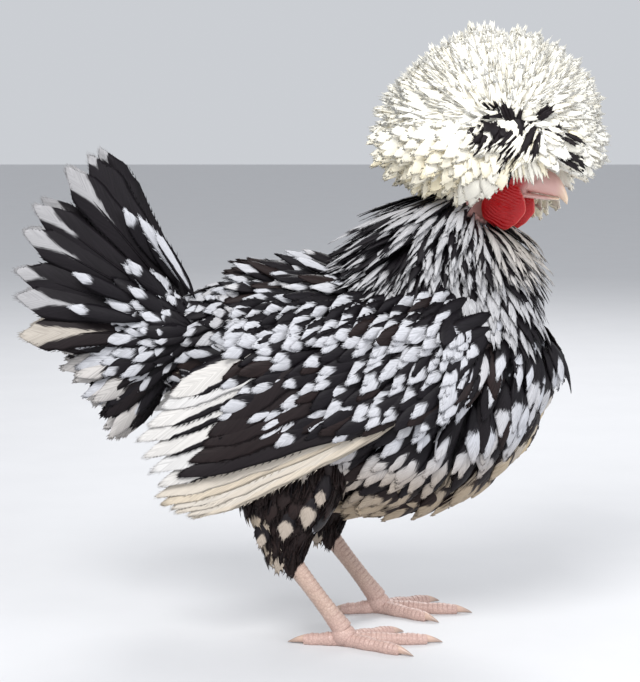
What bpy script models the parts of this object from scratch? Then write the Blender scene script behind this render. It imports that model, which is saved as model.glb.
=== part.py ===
"""A crested hen standing at life size, as a still museum model.

The bird faces +X, with +Z up and its left side towards +Y. It stands on the flats under its toes at z = 0.
Sizes below are in millimetres, and each mesh is written in metres. Each named part is its own closed body,
parted from its neighbour by a thin gap.
"""
import math

import bmesh
import bpy
import numpy as np
from mathutils import Matrix, Vector

MM = 0.001
GAP = 0.3
RIM = 22

# Torso slices from rump to breast: place along X, top, bottom and half width.
TORSO = [
    (-72, 222, 176, 16), (-56, 232, 146, 32), (-32, 240, 116, 46), (0, 245, 94, 57),
    (40, 248, 82, 62), (80, 248, 82, 63), (115, 246, 92, 60), (143, 238, 112, 51),
    (161, 225, 135, 37), (171, 209, 157, 20),
]
TORSO_SLICES = 13
TORSO_POWER = 2.2
TORSO_WAIST = 0.52

# Neck outline from shoulders to throat, at the tips of the hackles: height, middle along X, half length
# and half width.
NECK = [
    (196, 103, 64, 52), (224, 104, 65, 50), (243, 103, 64, 49), (258, 103, 58, 46),
    (271, 107, 50, 41), (283, 112, 42, 35), (294, 119, 30, 25),
]
NECK_SLICES = 10
NECK_CORE = 0.56
# Hackle rows: height of the roots, fall to the tips and feathers in the row.
HACKLE_ROWS = [(292, 30, 13), (282, 36, 14), (270, 40, 15), (256, 44, 16), (242, 46, 16)]
HACKLE_WIDTH = 8.5
HACKLE_THICK = 1.3

# The head has its own frame, turned towards the right and bowed.
HEAD_AT = (134, 0, 312)
HEAD_TURN = math.radians(-12)
HEAD_BOW = math.radians(12)
# Head slices from nape to bill root: place, middle height, half height and half width.
HEAD = [
    (-23, 1, 7, 7), (-18, 1, 12, 11), (-8, 0.5, 16, 14.5), (3, 0, 17, 15),
    (12, -1.5, 15.5, 13.5), (19, -3.5, 12.5, 11), (25, -5, 10, 8.6),
]
HEAD_SLICES = 10
EYE_AT = (8.5, 11.4, 2.5)
EYE_RADIUS = 5.6
LID_RADII = (8.0, 4.2, 7.2)
CREST_AT = (130, 0, 343.5)
CREST_OUTER = (79, 70, 63)
CREST_CORE_AT = (122, 0, 341)
CREST_CORE = (36, 36, 27)
CREST_COUNT = 186
CREST_RISE = 0.7
CREST_WIDTH = 13.5
# The globe is this much fuller below its middle.
CREST_JOWL = 0.3
CREST_THICK = 1.4
# Seen from the side, the crest ends above this line and the hackles below it: place and height at its ends.
CREST_LINE = [(56, 299), (150, 277)]
# The room that the crest leaves for the face, in the head's frame, and its narrower far side.
FACE_ROOM_AT = (44, 0, -17)
FACE_ROOM = (36, 70, 23)
FACE_ROOM_FAR = 17

# The bill: its root and length, its ridge, where that starts to drop and by how much, and its half width.
BILL_ROOT = 19
BILL_LENGTH = 53
BILL_RIDGE = 5.5
BILL_DROP_FROM = 30
BILL_DROP = 16.3
BILL_WIDTH = 8.2
BILL_TIP_WIDTH = 0.9
BILL_HOOK = 4
BILL_TIP_HEIGHT = -11.5
GAPE_HEIGHT = -11.5
GAPE_RISE = 1.2
MOUTH_GAP = 0.5
LOWER_SHORTER = 6
LOWER_NARROWER = 0.8
LOWER_DEPTH = 4.6
NOSTRIL_AT = (27.5, 6.6, -3.5)
NOSTRIL_RADII = (2.8, 1.7, 1.2)
# The comb's two horns: how far along each stands, how far aside and how high, and its lean back and out.
COMB_ALONG = {"L": 24.8, "R": 24.1}
COMB_ASIDE = 2.7
COMB_HIGH = 7.9
COMB_RADII = (4, 3.2, 4.6)
COMB_LEAN = (0.25, 0.45)
EARLOBE_AT = (-3, 13.2, -8)
EARLOBE_RADII = (5, 2.4, 6.5)
WATTLE_AT = (13, 9.5, -23)
WATTLE_STEP = 4
WATTLE_RADIUS = 14.5
WATTLE_THICK = 2.6
WATTLE_FOLD = 0.55
WATTLE_WAVE = 0.035

# Wing core slices from shoulder to elbow: place, top, bottom and half thickness.
WING_SIDE = 63.5
WING = [
    (99, 207, 190, 3), (88, 218, 158, 5), (66, 221, 146, 5.5), (38, 221, 156, 5.5),
    (12, 216, 178, 5), (-4, 208, 190, 3),
]
WING_SLICES = 7
# Tiers of the folded wing: feathers, distance from the middle plane and width, then where the roots and the
# tips lie in side view.
WING_TIERS = [
    (5, 62.6, 15, [(74, 158), (46, 150)], [(-60, 87), (-72, 94), (-82, 102)]),
    (8, 65.4, 17, [(72, 166), (10, 204)], [(-84, 108), (-93, 125), (-90, 147), (-62, 176)]),
    (7, 68.4, 16, [(76, 172), (12, 211)], [(10, 138), (-12, 150), (-26, 172), (-34, 197)]),
    (6, 70.8, 15, [(82, 180), (24, 214)], [(46, 154), (24, 166), (8, 186), (-6, 204)]),
]

TAIL_ROOT = (-60, 0, 204)
TAIL_CORE_AT = (-76, 0, 201)
TAIL_CORE = (22, 14, 24)
# Tail feathers of one side, from the top one down: angle and length.
TAIL_FAN = [(120, 136), (130, 138), (141, 136), (151, 132), (161, 126), (170, 121), (180, 116)]
TAIL_WIDTH = 21
# Tiers of coverts: feathers, first and last angle, first and last length, distance from the middle plane at
# the root and at the tip.
TAIL_COVERTS = [(6, 136, 222, 88, 94, 9, 22), (6, 140, 238, 66, 76, 12, 24)]
TAIL_COVERT_WIDTH = 19
FEATHER_THICK = 1.5

HOCK = {"R": (-2, -40, 60), "L": (23, 42, 60)}
ANKLE = {"R": (36, -42, 9), "L": (61, 44, 9)}
KNEE_RISE = 62
THIGH_LEAN = 8
# Thigh slices from hock to knee: part of the way, half length and half width.
THIGH = [
    (0, 10, 9), (0.12, 17, 14), (0.3, 29, 17.5), (0.6, 38, 19.5), (0.85, 40, 19.5), (1, 34, 17),
]
SHANK = [6.8, 6.0, 5.6, 5.4, 5.4, 5.6, 6.2, 6.8]
SCUTE = 0.45
TOES = [("inner", 38, 40), ("middle", 4, 54), ("outer", -34, 42), ("hind", 172, 27)]
TOE = [5.4, 4.6, 5.0, 4.0, 4.4, 3.4]
SOLE_PRESS = 0.75
CLAW_LENGTH = 12

# Slices of a feather's blade: place along it, spread and depth.
PLUME = [(0.05, 0.35, 1.0), (0.45, 0.75, 0.9), (0.8, 1.0, 0.6)]
COVERT = [(0.05, 0.6, 1.0), (0.45, 0.95, 0.9), (0.82, 1.0, 0.6)]
QUILL = [(0.03, 0.3, 1.0), (0.45, 0.75, 0.9), (0.88, 1.0, 0.6)]
SEED = 11

COLOURS = {
    "black_feather": (0.018, 0.016, 0.018, 0.55, 0.0),
    "mottled_feather": (0.30, 0.30, 0.31, 0.6, 0.0),
    "crest_feather": (0.82, 0.79, 0.68, 0.65, 0.0),
    "skin_red": (0.55, 0.02, 0.02, 0.45, 0.0),
    "bill_horn": (0.78, 0.55, 0.48, 0.35, 0.0),
    "leg_scale": (0.70, 0.52, 0.47, 0.5, 0.0),
    "claw_horn": (0.62, 0.48, 0.38, 0.4, 0.0),
    "eye_dark": (0.05, 0.015, 0.008, 0.08, 0.0),
    "earlobe_white": (0.85, 0.80, 0.72, 0.6, 0.0),
}


def clear_scene():
    for obj in list(bpy.data.objects):
        bpy.data.objects.remove(obj)


def material(name):
    """A plain material of the named colour, roughness and metal value."""
    found = bpy.data.materials.get(name)
    if found:
        return found
    red, green, blue, rough, metal = COLOURS[name]
    made = bpy.data.materials.new(name)
    made.use_nodes = True
    shader = made.node_tree.nodes["Principled BSDF"]
    shader.inputs["Base Color"].default_value = (red, green, blue, 1)
    shader.inputs["Roughness"].default_value = rough
    shader.inputs["Metallic"].default_value = metal
    return made


def smooth_rows(rows, count):
    """Rows of numbers resampled to count rows on a smooth curve through them all."""
    rows = np.array(rows, float)
    steps = np.linalg.norm(np.diff(rows, axis=0), axis=1)
    at = np.concatenate([[0], np.cumsum(steps)])
    slope = np.gradient(rows, at, axis=0)
    want = np.linspace(0, at[-1], count)
    k = np.clip(np.searchsorted(at, want, side="right") - 1, 0, len(rows) - 2)
    gap = (at[k + 1] - at[k])[:, None]
    t = (want[:, None] - at[k][:, None]) / gap
    return (
        (2 * t**3 - 3 * t**2 + 1) * rows[k]
        + (t**3 - 2 * t**2 + t) * gap * slope[k]
        + (3 * t**2 - 2 * t**3) * rows[k + 1]
        + (t**3 - t**2) * gap * slope[k + 1]
    )


def round_power(value, power):
    """A cosine or sine raised so that a circle turns into a squarer or rounder oval."""
    return np.sign(value) * np.abs(value) ** (2 / power)


def oval(count, power=2.0):
    """The two coordinates of a unit oval of count points."""
    turn = np.arange(count) * 2 * math.pi / count
    return round_power(np.cos(turn), power), round_power(np.sin(turn), power)


def body_of(name, rings, ends, finish, cutter=False):
    """A closed skin over rings of points in millimetres, drawn to a point beyond its first and last ring."""
    mesh = bmesh.new()
    loops = [[mesh.verts.new(Vector(p) * MM) for p in ring] for ring in rings]
    first, last = (mesh.verts.new(Vector(p) * MM) for p in ends)
    count = len(loops[0])
    for low, high in zip(loops, loops[1:]):
        for i in range(count):
            j = (i + 1) % count
            mesh.faces.new((low[i], low[j], high[j], high[i]))
    for i in range(count):
        j = (i + 1) % count
        mesh.faces.new((first, loops[0][j], loops[0][i]))
        mesh.faces.new((last, loops[-1][i], loops[-1][j]))
    bmesh.ops.recalc_face_normals(mesh, faces=mesh.faces)
    data = bpy.data.meshes.new(name)
    mesh.to_mesh(data)
    mesh.free()
    obj = bpy.data.objects.new(name, data)
    bpy.context.scene.collection.objects.link(obj)
    data.materials.append(material(finish))
    data.shade_smooth()
    data.set_sharp_from_angle(angle=math.radians(50))
    if cutter:
        obj.hide_render = True
        obj.display_type = "WIRE"
    return obj


def apply_modifiers(obj):
    """The object's mesh with its modifiers worked in."""
    graph = bpy.context.evaluated_depsgraph_get()
    made = bpy.data.meshes.new_from_object(obj.evaluated_get(graph))
    obj.modifiers.clear()
    obj.data = made


def keep_largest(obj):
    """Keeps the one closed surface of the mesh that spans the most room."""
    mesh = bmesh.new()
    mesh.from_mesh(obj.data)
    left = set(mesh.verts)
    groups = []
    while left:
        group, edge = set(), [left.pop()]
        while edge:
            vert = edge.pop()
            group.add(vert)
            for link in vert.link_edges:
                other = link.other_vert(vert)
                if other in left:
                    left.discard(other)
                    edge.append(other)
        groups.append(group)

    def reach(group):
        spots = np.array([v.co for v in group])
        return float(np.prod(np.ptp(spots, axis=0) + 1e-6))

    groups.sort(key=reach)
    for group in groups[:-1]:
        bmesh.ops.delete(mesh, geom=list(group), context="VERTS")
    mesh.to_mesh(obj.data)
    mesh.free()


def combine(obj, others, operation, solver="EXACT"):
    """Joins the others to the object, or takes them out of it, in one step, then removes them."""
    group = bpy.data.collections.new(obj.name + "_group")
    bpy.context.scene.collection.children.link(group)
    for other in others:
        group.objects.link(other)
    step = obj.modifiers.new("combine", "BOOLEAN")
    step.operation = operation
    step.solver = solver
    step.operand_type = "COLLECTION"
    step.collection = group
    apply_modifiers(obj)
    for other in others:
        bpy.data.objects.remove(other)
    bpy.data.collections.remove(group)
    keep_largest(obj)
    return obj


def cut_by(obj, cutters, solver="EXACT"):
    return combine(obj, cutters, "DIFFERENCE", solver)


def vane(course, out, width, thick, shape, finish):
    """A feather's blade on a curve from root past bend to tip: flat towards out, with a keel below."""
    root, bend, tip = (np.array(p, float) for p in course)
    out = np.array(out, float)
    rings = []
    for t, spread, depth in shape:
        middle = (1 - t) ** 2 * root + 2 * t * (1 - t) * bend + t * t * tip
        along = (1 - t) * (bend - root) + t * (tip - bend)
        side = np.cross(along, out)
        side *= width / 2 * spread / np.linalg.norm(side)
        face = np.cross(side, along)
        face *= thick * depth / np.linalg.norm(face)
        rings.append([middle + side, middle - side, middle - face])
    return body_of("vane", rings, (root, tip), finish)


def side_sign(side):
    return 1 if side == "L" else -1


def head_point(point):
    """A place in the head's frame, put into the bird's."""
    turned = Matrix.Rotation(HEAD_TURN, 3, "Z") @ Matrix.Rotation(HEAD_BOW, 3, "Y") @ Vector(point)
    return turned + Vector(HEAD_AT)


def torso(grow=0.0, cutter=False):
    """Upright oval slices from rump to breast, widest a little below half way up."""
    name = "torso_cutter" if cutter else "torso"
    across, up = oval(RIM, TORSO_POWER)
    rings = []
    for x, top, bottom, width in smooth_rows(TORSO, TORSO_SLICES):
        middle = bottom + TORSO_WAIST * (top - bottom)
        height = np.where(up > 0, top - middle, middle - bottom) + grow
        rings.append([(x, (width + grow) * a, middle + h * u) for a, u, h in zip(across, up, height)])
    front = (TORSO[-1][0] + 4 + grow, 0, 183)
    back = (TORSO[0][0] - 5 - grow, 0, 200)
    return body_of(name, rings, (back, front), "mottled_feather", cutter)


def off_torso(point, clear):
    """The point, moved straight out from the middle of its torso slice until it is clear of the torso."""
    rows = np.array(TORSO, float)
    x, y, z = point
    if not rows[0, 0] < x < rows[-1, 0]:
        return np.array(point, float)
    top, bottom, width = (np.interp(x, rows[:, 0], rows[:, k]) for k in (1, 2, 3))
    middle = bottom + TORSO_WAIST * (top - bottom)
    height = top - middle if z > middle else middle - bottom
    across, high = abs(y) / (width + clear), abs(z - middle) / (height + clear)
    depth = across ** TORSO_POWER + high ** TORSO_POWER
    push = max(1.0, max(depth, 1e-6) ** (-1 / TORSO_POWER))
    return np.array([x, y * push, middle + (z - middle) * push])


def neck_slice(height):
    """Middle, half length and half width of the neck's outline at a height."""
    rows = np.array(NECK, float)
    return [float(np.interp(height, rows[:, 0], rows[:, k])) for k in (1, 2, 3)]


def neck_core():
    """Level oval slices that narrow from the shoulders to the throat, inside the hackles."""
    along, across = oval(18)
    rings = []
    for z, x, length, width in smooth_rows(NECK, NECK_SLICES):
        rings.append([(x + NECK_CORE * length * a, NECK_CORE * width * b, z) for a, b in zip(along, across)])
    return body_of("neck", rings, ((103, 0, 186), (122, 0, 300)), "mottled_feather")


def hackles():
    """Rows of narrow feathers from the neck's core down and out to its outline, and over the shoulders."""
    rng = np.random.default_rng(SEED)
    made = []
    for row, (height, fall, count) in enumerate(HACKLE_ROWS):
        for k in range(count):
            turn = (k + 0.5 * (row % 2) + rng.uniform(-0.2, 0.2)) * 2 * math.pi / count
            way = np.array([math.cos(turn), math.sin(turn)])
            x, length, width = neck_slice(height)
            x = x + 0.5 * length * way[0]
            start = np.array([x, 0.5 * width * way[1], min(height, crest_line(x) + 2)])
            low = start[2] - fall * rng.uniform(0.85, 1.1)
            x, length, width = neck_slice(low)
            reach = rng.uniform(0.96, 1.08)
            tip = off_torso((x + reach * length * way[0], reach * width * way[1], low), 2.0 + 1.2 * row)
            out = np.array([way[0], way[1], 0.0])
            start[2] = max(start[2], tip[2] + 6)
            bend = (start + tip) / 2 + out * 6 + np.array([0, 0, 4])
            bend = off_torso(bend, 3.0)
            course, face = (start, bend, tip), out + (0, 0, 0.3)
            made.append(vane(course, face, HACKLE_WIDTH, HACKLE_THICK, PLUME, "mottled_feather"))
    return made


def crest_line(x):
    (x0, z0), (x1, z1) = CREST_LINE
    return z0 + (z1 - z0) * (x - x0) / (x1 - x0)


def line_block(side, gap):
    """A large block above or below the line that parts the crest from the hackles."""
    far = 160
    rings = []
    for lift in (gap, gap + 200):
        corners = ((-40, -far), (300, -far), (300, far), (-40, far))
        rings.append([(x, y, crest_line(x) + side * lift) for x, y in corners])
    ends = [np.mean(np.array(ring), axis=0) for ring in rings]
    return body_of("line_cutter", rings, ends, "crest_feather", True)


def head(grow=0.0, cutter=False):
    """Oval slices across the skull, from the nape to the root of the bill."""
    name = "head_cutter" if cutter else "head"
    across, up = oval(16, 2.1)
    rings = []
    for x, middle, height, width in smooth_rows(HEAD, HEAD_SLICES):
        rings.append([
            head_point((x, (width + grow) * a, middle + (height + grow) * u)) for a, u in zip(across, up)
        ])
    ends = (head_point((-26 - grow, 0, 1)), head_point((27 + grow, 0, -5.5)))
    return body_of(name, rings, ends, "skin_red", cutter)


def lid(side, grow=0.0, cutter=False):
    """A low mound round the eye. The eye's own room, taken out of it, leaves the rim of the lids."""
    x, y, z = EYE_AT
    name = f"lid_{side}" + ("_cutter" if cutter else "")
    centre = (x, side_sign(side) * (y + 0.6), z)
    return ball(name, centre, [r + grow for r in LID_RADII], "skin_red", cutter, (12, 5), head_point)


def ball(name, centre, radii, finish, cutter=False, count=(16, 9), place=lambda p: Vector(p)):
    """An ellipsoid of stacked rings."""
    turn = np.arange(count[0]) * 2 * math.pi / count[0]
    rings = []
    for k in range(1, count[1] + 1):
        lift = -math.pi / 2 + k * math.pi / (count[1] + 1)
        rings.append([
            place((
                centre[0] + radii[0] * math.cos(lift) * math.cos(a),
                centre[1] + radii[1] * math.cos(lift) * math.sin(a),
                centre[2] + radii[2] * math.sin(lift),
            ))
            for a in turn
        ])
    ends = [place((centre[0], centre[1], centre[2] + s * radii[2])) for s in (-1, 1)]
    return body_of(name, rings, ends, finish, cutter)


def eye(side, grow=0.0, cutter=False):
    x, y, z = EYE_AT
    name = f"eye_{side}" + ("_cutter" if cutter else "")
    centre = (x, side_sign(side) * y, z)
    return ball(name, centre, (EYE_RADIUS + grow,) * 3, "eye_dark", cutter, (12, 5), head_point)


def bill_top(x):
    """Height of the bill's upper ridge: level at its root and steep at its hook."""
    return BILL_RIDGE - BILL_DROP * max(0.0, (x - BILL_DROP_FROM) / (BILL_LENGTH - BILL_DROP_FROM)) ** 3


def bill(part, grow=0.0, cutter=False):
    """Oval slices of the upper or lower half of the bill. The mouth is the gap between the halves."""
    name = f"bill_{part}" + ("_cutter" if cutter else "")
    across, up = oval(12, 2.0)
    rings = []
    length = BILL_LENGTH if part == "upper" else BILL_LENGTH - LOWER_SHORTER
    for x in np.linspace(BILL_ROOT, length - 1, 7):
        run = (x - BILL_ROOT) / (BILL_LENGTH - BILL_ROOT)
        gape = GAPE_HEIGHT + GAPE_RISE * run
        width = BILL_WIDTH * (1 - run) ** 0.8 + BILL_TIP_WIDTH
        if part == "upper":
            top = bill_top(x)
            bottom = gape - BILL_HOOK * max(0.0, run - 0.8) / 0.2
        else:
            top = gape - MOUTH_GAP
            bottom = top - LOWER_DEPTH * (1 - run) ** 0.7
            width = width - LOWER_NARROWER
        middle, height = (top + bottom) / 2, (top - bottom) / 2 + grow
        rings.append([
            head_point((x, (width + grow) * a, middle + height * u)) for a, u in zip(across, up)
        ])
    root_height = -6 if part == "upper" else -14
    tip_height = BILL_TIP_HEIGHT - (2.7 if part == "upper" else 0.1)
    root = head_point((BILL_ROOT - 1.5 - grow, 0, root_height))
    tip = head_point((length + grow, 0, tip_height))
    return body_of(name, rings, (root, tip), "bill_horn", cutter)


def nostril(side):
    x, y, z = NOSTRIL_AT
    centre = (x, side_sign(side) * y, z)
    return ball(f"nostril_{side}", centre, NOSTRIL_RADII, "bill_horn", True, (6, 3), head_point)


def comb_lobe(side, grow=0.0, cutter=False):
    """One of the comb's two low horns, which spread into a V. The left one stands a little further forward."""
    sign = side_sign(side)
    centre = (COMB_ALONG[side], sign * COMB_ASIDE, COMB_HIGH)
    back, aside = COMB_LEAN

    def lean(point):
        x, y, z = point
        rise = z - COMB_HIGH
        return head_point((x - back * rise, y + sign * aside * rise, z))

    name = f"comb_{side}" + ("_cutter" if cutter else "")
    return ball(name, centre, [r + grow for r in COMB_RADII], "skin_red", cutter, (9, 5), lean)


def wattle(side, grow=0.0, cutter=False):
    """A hanging disc of skin whose faces rise and fall in rings, with a waved rim."""
    name = f"wattle_{side}" + ("_cutter" if cutter else "")
    x, y, z = WATTLE_AT
    centre = np.array([x + (WATTLE_STEP if side == "L" else 0), side_sign(side) * y, z])
    turn = np.arange(15) * 2 * math.pi / 15
    rings = []
    for k in range(1, 10):
        lift = -math.pi / 2 + k * math.pi / 10
        fold = WATTLE_FOLD * math.sin(lift) * (1 if cutter or k % 2 else -1)
        radius = WATTLE_RADIUS * math.cos(lift) + grow
        wave = 1 + WATTLE_WAVE * (1 if cutter else np.cos(5 * turn)) * np.ones(len(turn))
        thick = WATTLE_THICK * math.sin(lift) + fold + grow * math.copysign(1, lift)
        rings.append([
            head_point(centre + np.array([radius * w * math.cos(a), thick, 1.08 * radius * w * math.sin(a)]))
            for a, w in zip(turn, wave)
        ])
    high = WATTLE_THICK + (grow + WATTLE_FOLD if cutter else 0)
    ends = [head_point(centre + np.array([0, s * high, 0])) for s in (-1, 1)]
    return body_of(name, rings, ends, "skin_red", cutter)


def earlobe(side, grow=0.0, cutter=False):
    name = f"earlobe_{side}" + ("_cutter" if cutter else "")
    x, y, z = EARLOBE_AT
    centre = (x, side_sign(side) * y, z)
    radii = [r + grow for r in EARLOBE_RADII]
    return ball(name, centre, radii, "earlobe_white", cutter, (10, 5), head_point)


def in_face_room(point):
    """Whether a place lies in the room that the crest leaves for the bill and wattles."""
    turn = Matrix.Rotation(HEAD_TURN, 3, "Z") @ Matrix.Rotation(HEAD_BOW, 3, "Y")
    x, y, z = turn.inverted() @ (Vector(point) - Vector(HEAD_AT)) - Vector(FACE_ROOM_AT)
    across = FACE_ROOM_FAR if y > 0 else FACE_ROOM[1]
    return (x / FACE_ROOM[0]) ** 2 + (y / across) ** 2 + (z / FACE_ROOM[2]) ** 2 < 1


def crest_feathers():
    """Feathers spread evenly over the globe: up from the core, out, and bent a little towards their tips."""
    rng = np.random.default_rng(SEED + 1)
    core, centre = np.array(CREST_CORE_AT, float), np.array(CREST_AT, float)
    made = []
    for k in range(CREST_COUNT):
        high = 1 - 2 * (k + 0.5) / CREST_COUNT
        turn = k * math.pi * (3 - math.sqrt(5))
        level = math.sqrt(1 - high * high)
        way = np.array([level * math.cos(turn), level * math.sin(turn), high])
        full = 1 + CREST_JOWL * max(0.0, -high)
        tip = centre + np.array(CREST_OUTER) * way * (full, full, 1) * rng.uniform(0.95, 1.03)
        tip[2] = max(tip[2], crest_line(tip[0]) + rng.uniform(1.5, 5.0))
        rise = way + np.array([0, 0, CREST_RISE])
        rise /= np.linalg.norm(rise)
        root = core + np.array(CREST_CORE) * rise * 0.8
        over = (way + rise) / np.linalg.norm(way + rise)
        bend = centre + np.array(CREST_OUTER) * over * 0.84
        bend[2] = max(bend[2], crest_line(bend[0]) + 6)
        if any(in_face_room(place) for place in (tip, (tip + bend) / 2, bend)):
            continue
        twist = rng.uniform(-0.5, 0.5)
        around = np.array([-math.sin(turn), math.cos(turn), 0])
        out = np.cross(around, way) * -1 + around * twist
        width = CREST_WIDTH * rng.uniform(0.85, 1.15)
        made.append(vane((root, bend, tip), out, width, CREST_THICK, PLUME, "crest_feather"))
    return made


def wing_core(side, grow=0.0, cutter=False):
    """Upright oval slices along the arm, flat against the flank."""
    name = f"wing_{side}" + ("_cutter" if cutter else "")
    across, up = oval(14)
    out = side_sign(side) * WING_SIDE
    rings = []
    for x, top, bottom, thick in smooth_rows(WING, WING_SLICES):
        middle, height = (top + bottom) / 2, (top - bottom) / 2 + grow
        rings.append([(x, out + (thick + grow) * a, middle + height * u) for a, u in zip(across, up)])
    ends = ((WING[0][0] + 3 + grow, out, 198), (WING[-1][0] - 3 - grow, out, 199))
    return body_of(name, rings, ends, "mottled_feather", cutter)


def wing_feathers(side):
    """Tiers of vanes that lie back along the flank. Each is tilted, so that it laps over the one below it."""
    rng = np.random.default_rng(SEED + 2)
    sign = side_sign(side)
    made = []
    for count, away, width, roots, tips in WING_TIERS:
        starts, ends = smooth_rows(roots, count), smooth_rows(tips, count)
        for (x0, z0), (x1, z1) in zip(starts, ends):
            root = np.array([x0 + 5, sign * WING_SIDE, z0])
            tip = np.array([x1 + rng.uniform(-3, 3), sign * (away + 0.4), z1 + rng.uniform(-2, 2)])
            bend = (root + tip) / 2 + np.array([0, sign * (away - WING_SIDE + 2), 4])
            out = (0, sign, -0.16)
            made.append(vane((root, bend, tip), out, width, FEATHER_THICK, QUILL, "mottled_feather"))
    return made


def tail_feathers():
    """The fan of tail feathers on each side, like the two slopes of a roof, and the coverts over its base."""
    rng = np.random.default_rng(SEED + 3)
    made = []
    for sign in (-1, 1):
        for k, (angle, length) in enumerate(TAIL_FAN):
            turn = math.radians(angle + rng.uniform(-2, 2))
            way = np.array([math.cos(turn), 0, math.sin(turn)])
            root = np.array(TAIL_ROOT) + way * 14 + np.array([0, sign * (1.5 + k), 0])
            tip = np.array(TAIL_ROOT) + way * length + np.array([0, sign * (5 + 3.6 * k), 0])
            bend = (root + tip) / 2 + np.array([0, sign * 3, 2])
            course, out = (root, bend, tip), (0, sign, 0.3)
            made.append(vane(course, out, TAIL_WIDTH, FEATHER_THICK, QUILL, "black_feather"))
        for count, first, last, short, long, near, far in TAIL_COVERTS:
            for k in range(count):
                part = k / (count - 1)
                turn = math.radians(first + (last - first) * part + rng.uniform(-3, 3))
                way = np.array([math.cos(turn), 0, math.sin(turn)])
                length = (short + (long - short) * part) * rng.uniform(0.94, 1.06)
                middle = math.sin(math.pi * (0.15 + 0.7 * part))
                root = np.array(TAIL_CORE_AT) + np.array([0, sign * near * 0.8, 0])
                tip = np.array(TAIL_ROOT) + way * length + np.array([0, sign * far * middle, 0])
                bend = (root + tip) / 2 + np.array([0, sign * 7 * middle, 0])
                course, out = (root, bend, tip), (0, sign, 0.2)
                made.append(vane(course, out, TAIL_COVERT_WIDTH, FEATHER_THICK, COVERT, "black_feather"))
    return made


def thigh(side, grow=0.0, cutter=False):
    """A feathered drumstick, tapering from the belly down to the hock."""
    name = f"thigh_{side}" + ("_cutter" if cutter else "")
    hock = np.array(HOCK[side], float)
    top = hock + np.array([THIGH_LEAN, -side_sign(side) * 2, KNEE_RISE])
    across, along = oval(16)
    rings = []
    for t, length, width in THIGH:
        middle = hock + (top - hock) * t
        rings.append([
            middle + np.array([(length + grow) * b, (width + grow) * a, 0]) for a, b in zip(across, along)
        ])
    ends = (hock + np.array([0, 0, -4 - grow]), top + np.array([0, 0, 10 + grow]))
    return body_of(name, rings, ends, "black_feather", cutter)


def limb(name, start, end, radii, finish, cutter=False, count=10, flat=None):
    """A round limb from start to end with the given radii at even steps. Nothing of it goes below flat."""
    start, end = np.array(start, float), np.array(end, float)
    way = (end - start) / np.linalg.norm(end - start)
    side = np.cross(way, [0, 0, 1])
    side /= np.linalg.norm(side)
    up = np.cross(side, way)
    across, high = oval(count)
    rings = []
    for k, radius in enumerate(radii):
        middle = start + (end - start) * k / (len(radii) - 1)
        ring = [middle + side * radius * a + up * radius * b for a, b in zip(across, high)]
        if flat is not None:
            ring = [np.array([p[0], p[1], max(p[2], flat)]) for p in ring]
        rings.append(ring)
    reach = 0.4
    swell = GAP if cutter else 0.0
    ends = (start - way * (radii[0] * reach + swell), end + way * (radii[-1] * reach + swell))
    return body_of(name, rings, ends, finish, cutter)


def shank(side, grow=0.0, cutter=False):
    """A round limb whose scutes are steps in its radius."""
    name = f"shank_{side}" + ("_cutter" if cutter else "")
    at = np.linspace(0, 1, 2 * len(SHANK) - 1)
    radii = np.interp(at, np.linspace(0, 1, len(SHANK)), SHANK) + grow
    radii[1::2] += SCUTE
    return limb(name, HOCK[side], ANKLE[side], radii, "leg_scale", cutter, 8)


def toe_way(side, turn):
    angle = math.radians(turn) * -side_sign(side)
    return np.array([math.cos(angle), math.sin(angle), 0])


def toe(side, name, turn, length, grow=0.0, cutter=False):
    """A toe that lies along the floor, with a flat underside."""
    full = f"toe_{name}_{side}" + ("_cutter" if cutter else "")
    radii = np.array(TOE)
    start = np.array(ANKLE[side], float)
    start[2] = SOLE_PRESS * radii[0]
    end = start + toe_way(side, turn) * length
    end[2] = SOLE_PRESS * radii[-1]
    return limb(full, start, end, radii + grow, "leg_scale", cutter, 10, None if cutter else 0.0)


def claw(side, name, turn, length):
    """A claw that curves down from the end of its toe to the floor."""
    way = toe_way(side, turn)
    start = np.array(ANKLE[side], float) + way * (length - 1)
    across, high = oval(6)
    sideways = np.cross(way, [0, 0, 1])
    rings = []
    for t in (0, 0.3, 0.6, 0.85):
        radius = 2.6 * (1 - t) ** 0.7 + 0.3
        middle = start + way * CLAW_LENGTH * t
        middle[2] = 3.6 - 1.2 * t - 1.6 * t * t
        rings.append([
            middle + sideways * radius * 0.8 * a + np.array([0, 0, max(radius * b, 0.3 - middle[2])])
            for a, b in zip(across, high)
        ])
    tip = start + way * CLAW_LENGTH
    tip[2] = 0.6
    root = start - way * 1.5
    root[2] = 3.6
    return body_of(f"claw_{name}_{side}", rings, (root, tip), "claw_horn")


def build_head():
    """The head with its lids, eyes, bill, comb, wattles and earlobes, each clear of what it grows from."""
    skull = combine(head(), [lid(side) for side in "LR"], "UNION")
    for side in "LR":
        eye(side)
    cut_by(skull, [eye(side, GAP, True) for side in "LR"])
    cut_by(bill("upper"), [head(GAP, True)] + [nostril(side) for side in "LR"])
    cut_by(bill("lower"), [head(GAP, True)])
    comb = combine(comb_lobe("L"), [comb_lobe("R")], "UNION")
    comb.name = "comb"
    cut_by(comb, [head(GAP, True), bill("upper", GAP, True)])
    for side in "LR":
        cut_by(earlobe(side), [head(GAP, True), lid(side, GAP, True)])
        bills = [bill("lower", GAP, True), bill("upper", GAP, True)]
        cut_by(wattle(side), [head(GAP, True), *bills, earlobe(side, GAP, True)])


def head_cutters():
    """Grown copies of all that the crest and the neck keep clear of."""
    parts = (eye, lid, earlobe, wattle, comb_lobe)
    pairs = [part(side, GAP, True) for side in "LR" for part in parts]
    return pairs + [head(GAP, True), bill("upper", GAP, True), bill("lower", GAP, True)]


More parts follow.
